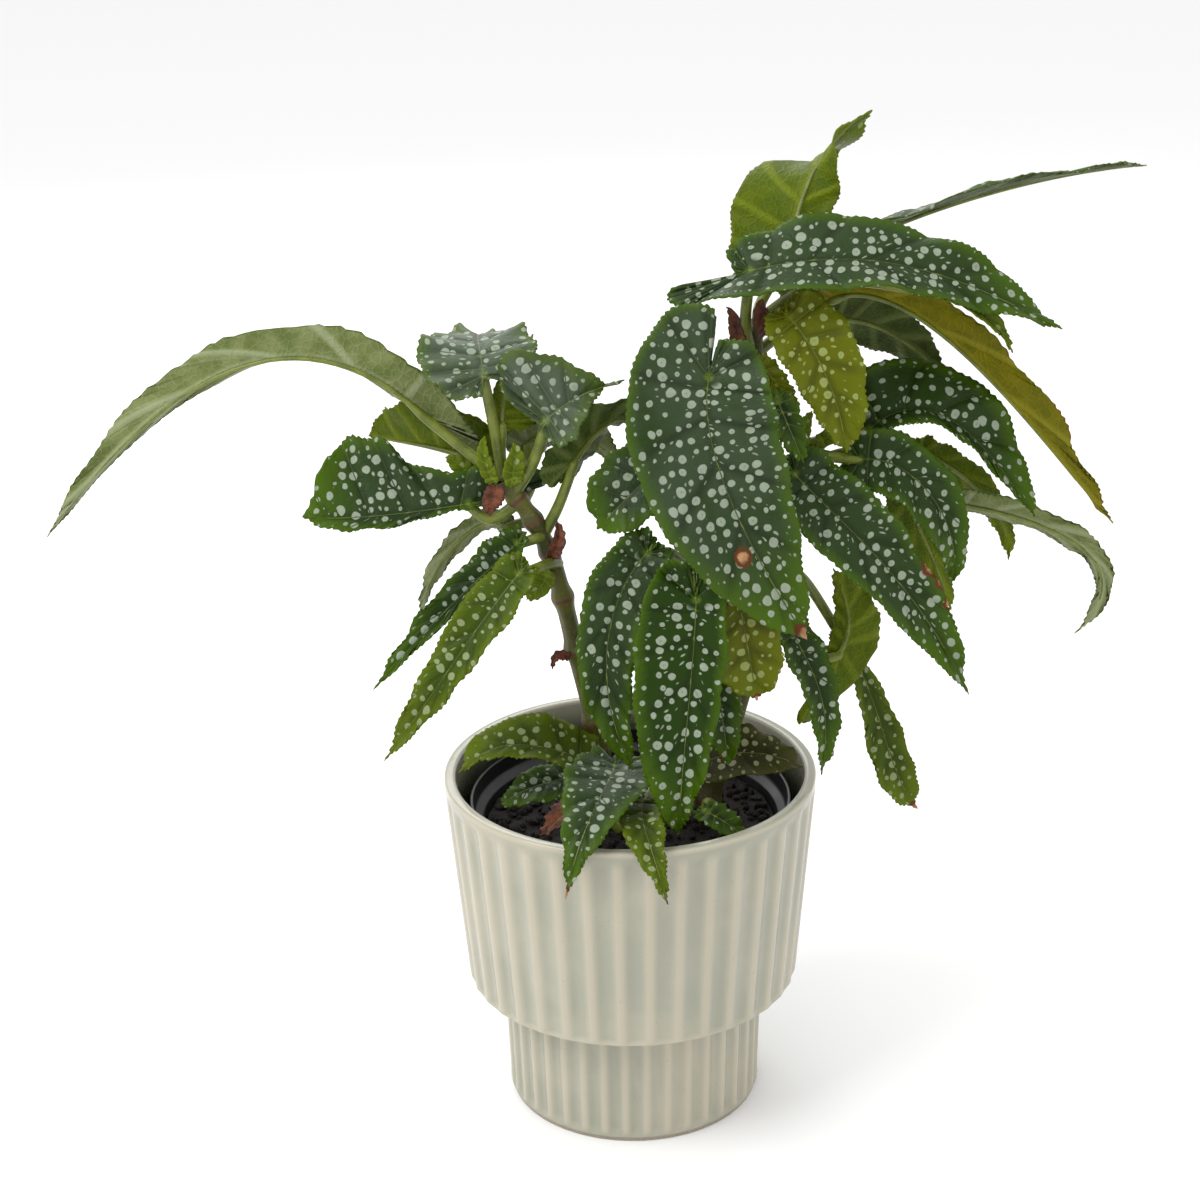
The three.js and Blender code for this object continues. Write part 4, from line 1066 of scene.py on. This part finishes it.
def resampled(profile, spacing):
    """The same outline with points no further apart than spacing."""
    pieces = []
    for start, end in zip(profile[:-1], profile[1:]):
        count = max(int(np.linalg.norm(end - start) / spacing), 1)
        pieces.append(start + (end - start) * (np.arange(count) / count)[:, None])
    return np.concatenate(pieces + [profile[-1:]])


def turned(profile, sectors):
    """A profile of radius and height carried round the upright axis."""
    angle = np.arange(sectors) / sectors * TAU
    r = profile[:, 0][:, None]
    height = np.broadcast_to(profile[:, 1][:, None], (len(profile), sectors))
    return np.stack([r * np.cos(angle), r * np.sin(angle), height], -1)


def ceramic_pot():
    """The profile turned round the axis. On the outside the radius is lowered between crests by
    the rib depth times the squared sine of the rib phase, fading out at the rim, step and foot."""
    inside = RIM_RADIUS - WALL
    outline = [
        (0, 0), (FOOT_BASE_RADIUS - 0.8, 0), (FOOT_BASE_RADIUS - 0.8, UNGLAZED_HEIGHT),
        (FOOT_BASE_RADIUS, UNGLAZED_HEIGHT + 0.6), (FOOT_TOP_RADIUS, STEP_HEIGHT),
        (CUP_FOOT_RADIUS, STEP_HEIGHT),
        (RIM_RADIUS, POT_HEIGHT - 5), (RIM_RADIUS, POT_HEIGHT), (inside, POT_HEIGHT),
        (CUP_FOOT_RADIUS - WALL, STEP_HEIGHT + WALL), (FOOT_TOP_RADIUS - WALL, STEP_HEIGHT - WALL),
        (FOOT_BASE_RADIUS - WALL, FLOOR_THICKNESS), (0, FLOOR_THICKNESS),
    ]
    corner_sizes = [0.3, 0.3, 0.5, 1.2, 1.1, 3, 1.4, 1.6, 6, 4, 6]
    row_spacing = 1.75
    facets_per_rib = 10
    profile = resampled(rounded(outline, corner_sizes), row_spacing)
    sectors = RIB_COUNT * facets_per_rib
    points = turned(profile, sectors)
    walked = walked_along(profile)
    top = walked[np.argmax(profile[:, 1] > POT_HEIGHT - 0.01)]
    outside = walked < top
    height = profile[:, 1]
    radius = profile[:, 0]
    on_foot = smooth(2.2, 5, height) * smooth(STEP_HEIGHT - 0.5, STEP_HEIGHT - 2.5, height)
    on_foot = on_foot * (radius < FOOT_TOP_RADIUS + 0.5)
    on_cup = smooth(STEP_HEIGHT - 0.4, STEP_HEIGHT + 1.4, height) * (radius > CUP_FOOT_RADIUS - 2)
    on_cup = on_cup * smooth(POT_HEIGHT - 2.6, POT_HEIGHT - 8, height)
    strength = np.where(outside, np.maximum(on_foot, on_cup), 0)
    angle = np.arange(sectors) / sectors * TAU
    sine = np.abs(np.sin(angle * RIB_COUNT / 2))
    flute = sine**2
    depth = RIB_DEPTH * strength[:, None] * flute[None]
    points[..., :2] -= unit(points[..., :2]) * depth[..., None]
    crest = strength[:, None] * (1 - smooth(0.2, 0.85, sine))[None]
    # Painted highlight lines, partly thin glaze: lighter bands along the rim's outer edge and the cup's
    # lower edge.
    rim_edge_glaze_and_highlight = np.exp(-(((walked - top + 1.8) / 0.9) ** 2))
    step_edge_glaze_and_highlight = np.exp(-(((height - STEP_HEIGHT - 0.7) / 0.8) ** 2))
    step_edge_glaze_and_highlight = step_edge_glaze_and_highlight * (radius > CUP_FOOT_RADIUS - 1.5) * outside
    crest = np.maximum(crest, np.maximum(rim_edge_glaze_and_highlight, 0.8 * step_edge_glaze_and_highlight)[:, None])
    # Painted shade inside the pot: 0 on the outside and at the rim, rising to 1 from 4 to 16 mm down the
    # inner wall.
    inner = np.where(outside, 0, smooth(top + 4, top + 16, walked))[:, None] * np.ones((1, sectors))
    bare = height[:-1] < UNGLAZED_HEIGHT
    slots = np.repeat(bare & outside[:-1], sectors).astype(int)
    faces = grid_faces(len(profile), sectors, wrap=True)
    piece = build("ceramic_pot_glazed", points, faces, [glaze(), bisque()],
                  attributes={"crest": crest, "inner": inner}, face_slots=slots)
    finish_piece(piece, "ceramic_pot")


def nursery_pot():
    """A thin moulded shell with a rolled band at the top."""
    outline = [
        (0, 6.4), (39.8, 6.4), (58.8, 119), (62.6, 119.4), (62.9, NURSERY_TOP), (61.6, NURSERY_TOP),
        (61.4, 120.6), (57.8, 118.6), (38.6, 7.6), (0, 7.6),
    ]
    corner_sizes = [2, 0.5, 0.5, 0.5, 0.5, 1, 0.5, 2]
    row_spacing = 4
    profile = resampled(rounded(outline, corner_sizes), row_spacing)
    sectors = 144
    points = turned(profile, sectors)
    faces = grid_faces(len(profile), sectors, wrap=True)
    piece = build("nursery_pot_shell", points, faces, [black_plastic()])
    finish_piece(piece, "nursery_pot")


def soil_bed():
    """A round bed whose top is a heap of soft mounds, with crumbs of bark scattered on it."""
    random = np.random.default_rng(5)
    low, high = (np.array(corner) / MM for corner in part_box("soil"))
    radius = high[0] - 0.4
    rings = 70
    sectors = 160
    share = np.linspace(0, 1, rings)
    angle = np.arange(sectors) / sectors * TAU
    x = radius * share[:, None] * np.cos(angle)
    y = radius * share[:, None] * np.sin(angle)

    def mounds(px, py):
        centres = random.uniform(-radius, radius, (260, 2))
        sizes = random.uniform(1.5, 5, 260)
        heights = random.uniform(0.3, 1.6, 260)
        gap = (px[..., None] - centres[:, 0]) ** 2 + (py[..., None] - centres[:, 1]) ** 2
        return (heights * np.exp(-gap / sizes**2)).max(-1)

    top = np.stack([x, y, SOIL_TOP - 1.7 + mounds(x, y)], -1)
    base_radius = 38 * np.ones(sectors)
    bottom = np.full(sectors, low[2] + 0.3)
    skirt = np.stack([base_radius * np.cos(angle), base_radius * np.sin(angle), bottom], -1)[None]
    centre = np.tile(np.array([0, 0, low[2] + 0.3]), (1, sectors, 1))
    points = np.concatenate([top, skirt, centre])
    bed = build("soil_bed", points, grid_faces(rings + 2, sectors, wrap=True)[:, ::-1], [SOIL])
    count = 700
    distance = radius * 0.97 * np.sqrt(random.uniform(0, 1, count))
    turn = random.uniform(0, TAU, count)
    ball = bmesh.new()
    bmesh.ops.create_icosphere(ball, subdivisions=1, radius=1)
    shape = np.array([v.co for v in ball.verts])
    triangles = np.array([[v.index for v in f.verts] for f in ball.faces])
    ball.free()
    size = random.uniform(0.5, 1.9, (count, 1, 1)) * random.uniform(0.6, 1.4, (count, 1, 3))
    rough = 1 + random.uniform(-0.25, 0.25, (count, len(shape), 1))
    heading = random.uniform(0, TAU, count)
    cos, sin = np.cos(heading)[:, None], np.sin(heading)[:, None]
    lump = shape[None] * rough * size
    turned_x = lump[..., 0] * cos - lump[..., 1] * sin
    turned_y = lump[..., 0] * sin + lump[..., 1] * cos
    lump = np.stack([turned_x, turned_y, lump[..., 2]], -1)
    place = np.stack([distance * np.cos(turn), distance * np.sin(turn), np.full(count, SOIL_TOP - 0.9)], -1)
    lump = lump + place[:, None]
    lump[..., 2] = np.minimum(lump[..., 2], SOIL_TOP + 1.5)
    faces = triangles[None] + (np.arange(count) * len(shape))[:, None, None]
    crumbs = build("soil_crumbs", lump, faces.reshape(-1, 3), [SOIL], weld=0)
    join(bed, crumbs)
    finish_piece(bed, "soil")


CANE = cane_skin()
SOIL = potting_soil()

ceramic_pot()
nursery_pot()
soil_bed()
for name, route in CANES.items():
    cane(name, route)
for order, (name, leaf) in enumerate({**LEAVES, **SCALES}.items()):
    leaf_piece(name, leaf, order)


# ---------------------------------------------------------------------------------------------
# Floor, light and camera
# ---------------------------------------------------------------------------------------------
def placing(columns):
    """The matrix whose columns are a thing's right, up and back directions and its place."""
    return Matrix([[float(column[row]) for column in columns] for row in range(3)] + [[0, 0, 0, 1]])


def studio():
    floor_mesh = bpy.data.meshes.new("floor")
    reach = 6
    corners = [(-reach, -reach, 0), (reach, -reach, 0), (reach, reach, 0), (-reach, reach, 0)]
    floor_mesh.from_pydata(corners, [], [(0, 1, 2, 3)])
    floor = bpy.data.objects.new("floor", floor_mesh)
    bpy.context.collection.objects.link(floor)
    n = Nodes("floor_paper")
    n.shader.inputs["Base Color"].default_value = (0.87, 0.87, 0.87, 1)
    n.shader.inputs["Roughness"].default_value = 0.9
    floor_mesh.materials.append(n.material)
    world = bpy.data.worlds.new("studio")
    world.use_nodes = True
    world.node_tree.nodes["Background"].inputs[0].default_value = (1, 1, 1, 1)
    world.node_tree.nodes["Background"].inputs[1].default_value = 1.05
    bpy.context.scene.world = world
    bpy.context.scene.view_settings.view_transform = "Standard"

    def panel(name, place, target, width, power):
        light = bpy.data.lights.new(name, "AREA")
        light.shape = "RECTANGLE"
        light.size = width
        light.size_y = width * 0.8
        light.energy = power
        lamp = bpy.data.objects.new(name, light)
        direction = np.array(target) - np.array(place)
        back = -direction / np.linalg.norm(direction)
        across = np.cross((0, 0, 1), back)
        across /= np.linalg.norm(across)
        above = np.cross(back, across)
        lamp.matrix_world = placing((across, above, back, place))
        bpy.context.collection.objects.link(lamp)

    panel("window", (-0.9, -0.5, 1.3), (0, 0, 0.2), 0.9, 14)
    panel("fill", (1.1, -0.9, 0.7), (0, 0, 0.2), 1.0, 2)
    panel("back_light", (-0.3, 1.2, 1.1), (0, 0, 0.25), 0.9, 6)


def camera():
    """Looks along +Y and down, with a slight roll."""
    pitch = math.radians(21.5)
    roll = math.radians(-1.1)
    distance = 912
    target = np.array([-10.4, 0, 209])
    back = np.array([0, -math.cos(pitch), math.sin(pitch)])
    place = (target + back * distance) * MM
    right = np.array([1, 0, 0])
    above = np.cross(back, right)
    turned_right = right * math.cos(roll) + above * math.sin(roll)
    turned_above = above * math.cos(roll) - right * math.sin(roll)
    lens = bpy.data.cameras.new("camera")
    lens.lens = 72
    lens.sensor_width = 36
    lens.clip_end = 20
    eye = bpy.data.objects.new("camera", lens)
    eye.matrix_world = placing((turned_right, turned_above, back, place))
    bpy.context.collection.objects.link(eye)
    bpy.context.scene.camera = eye


studio()
camera()
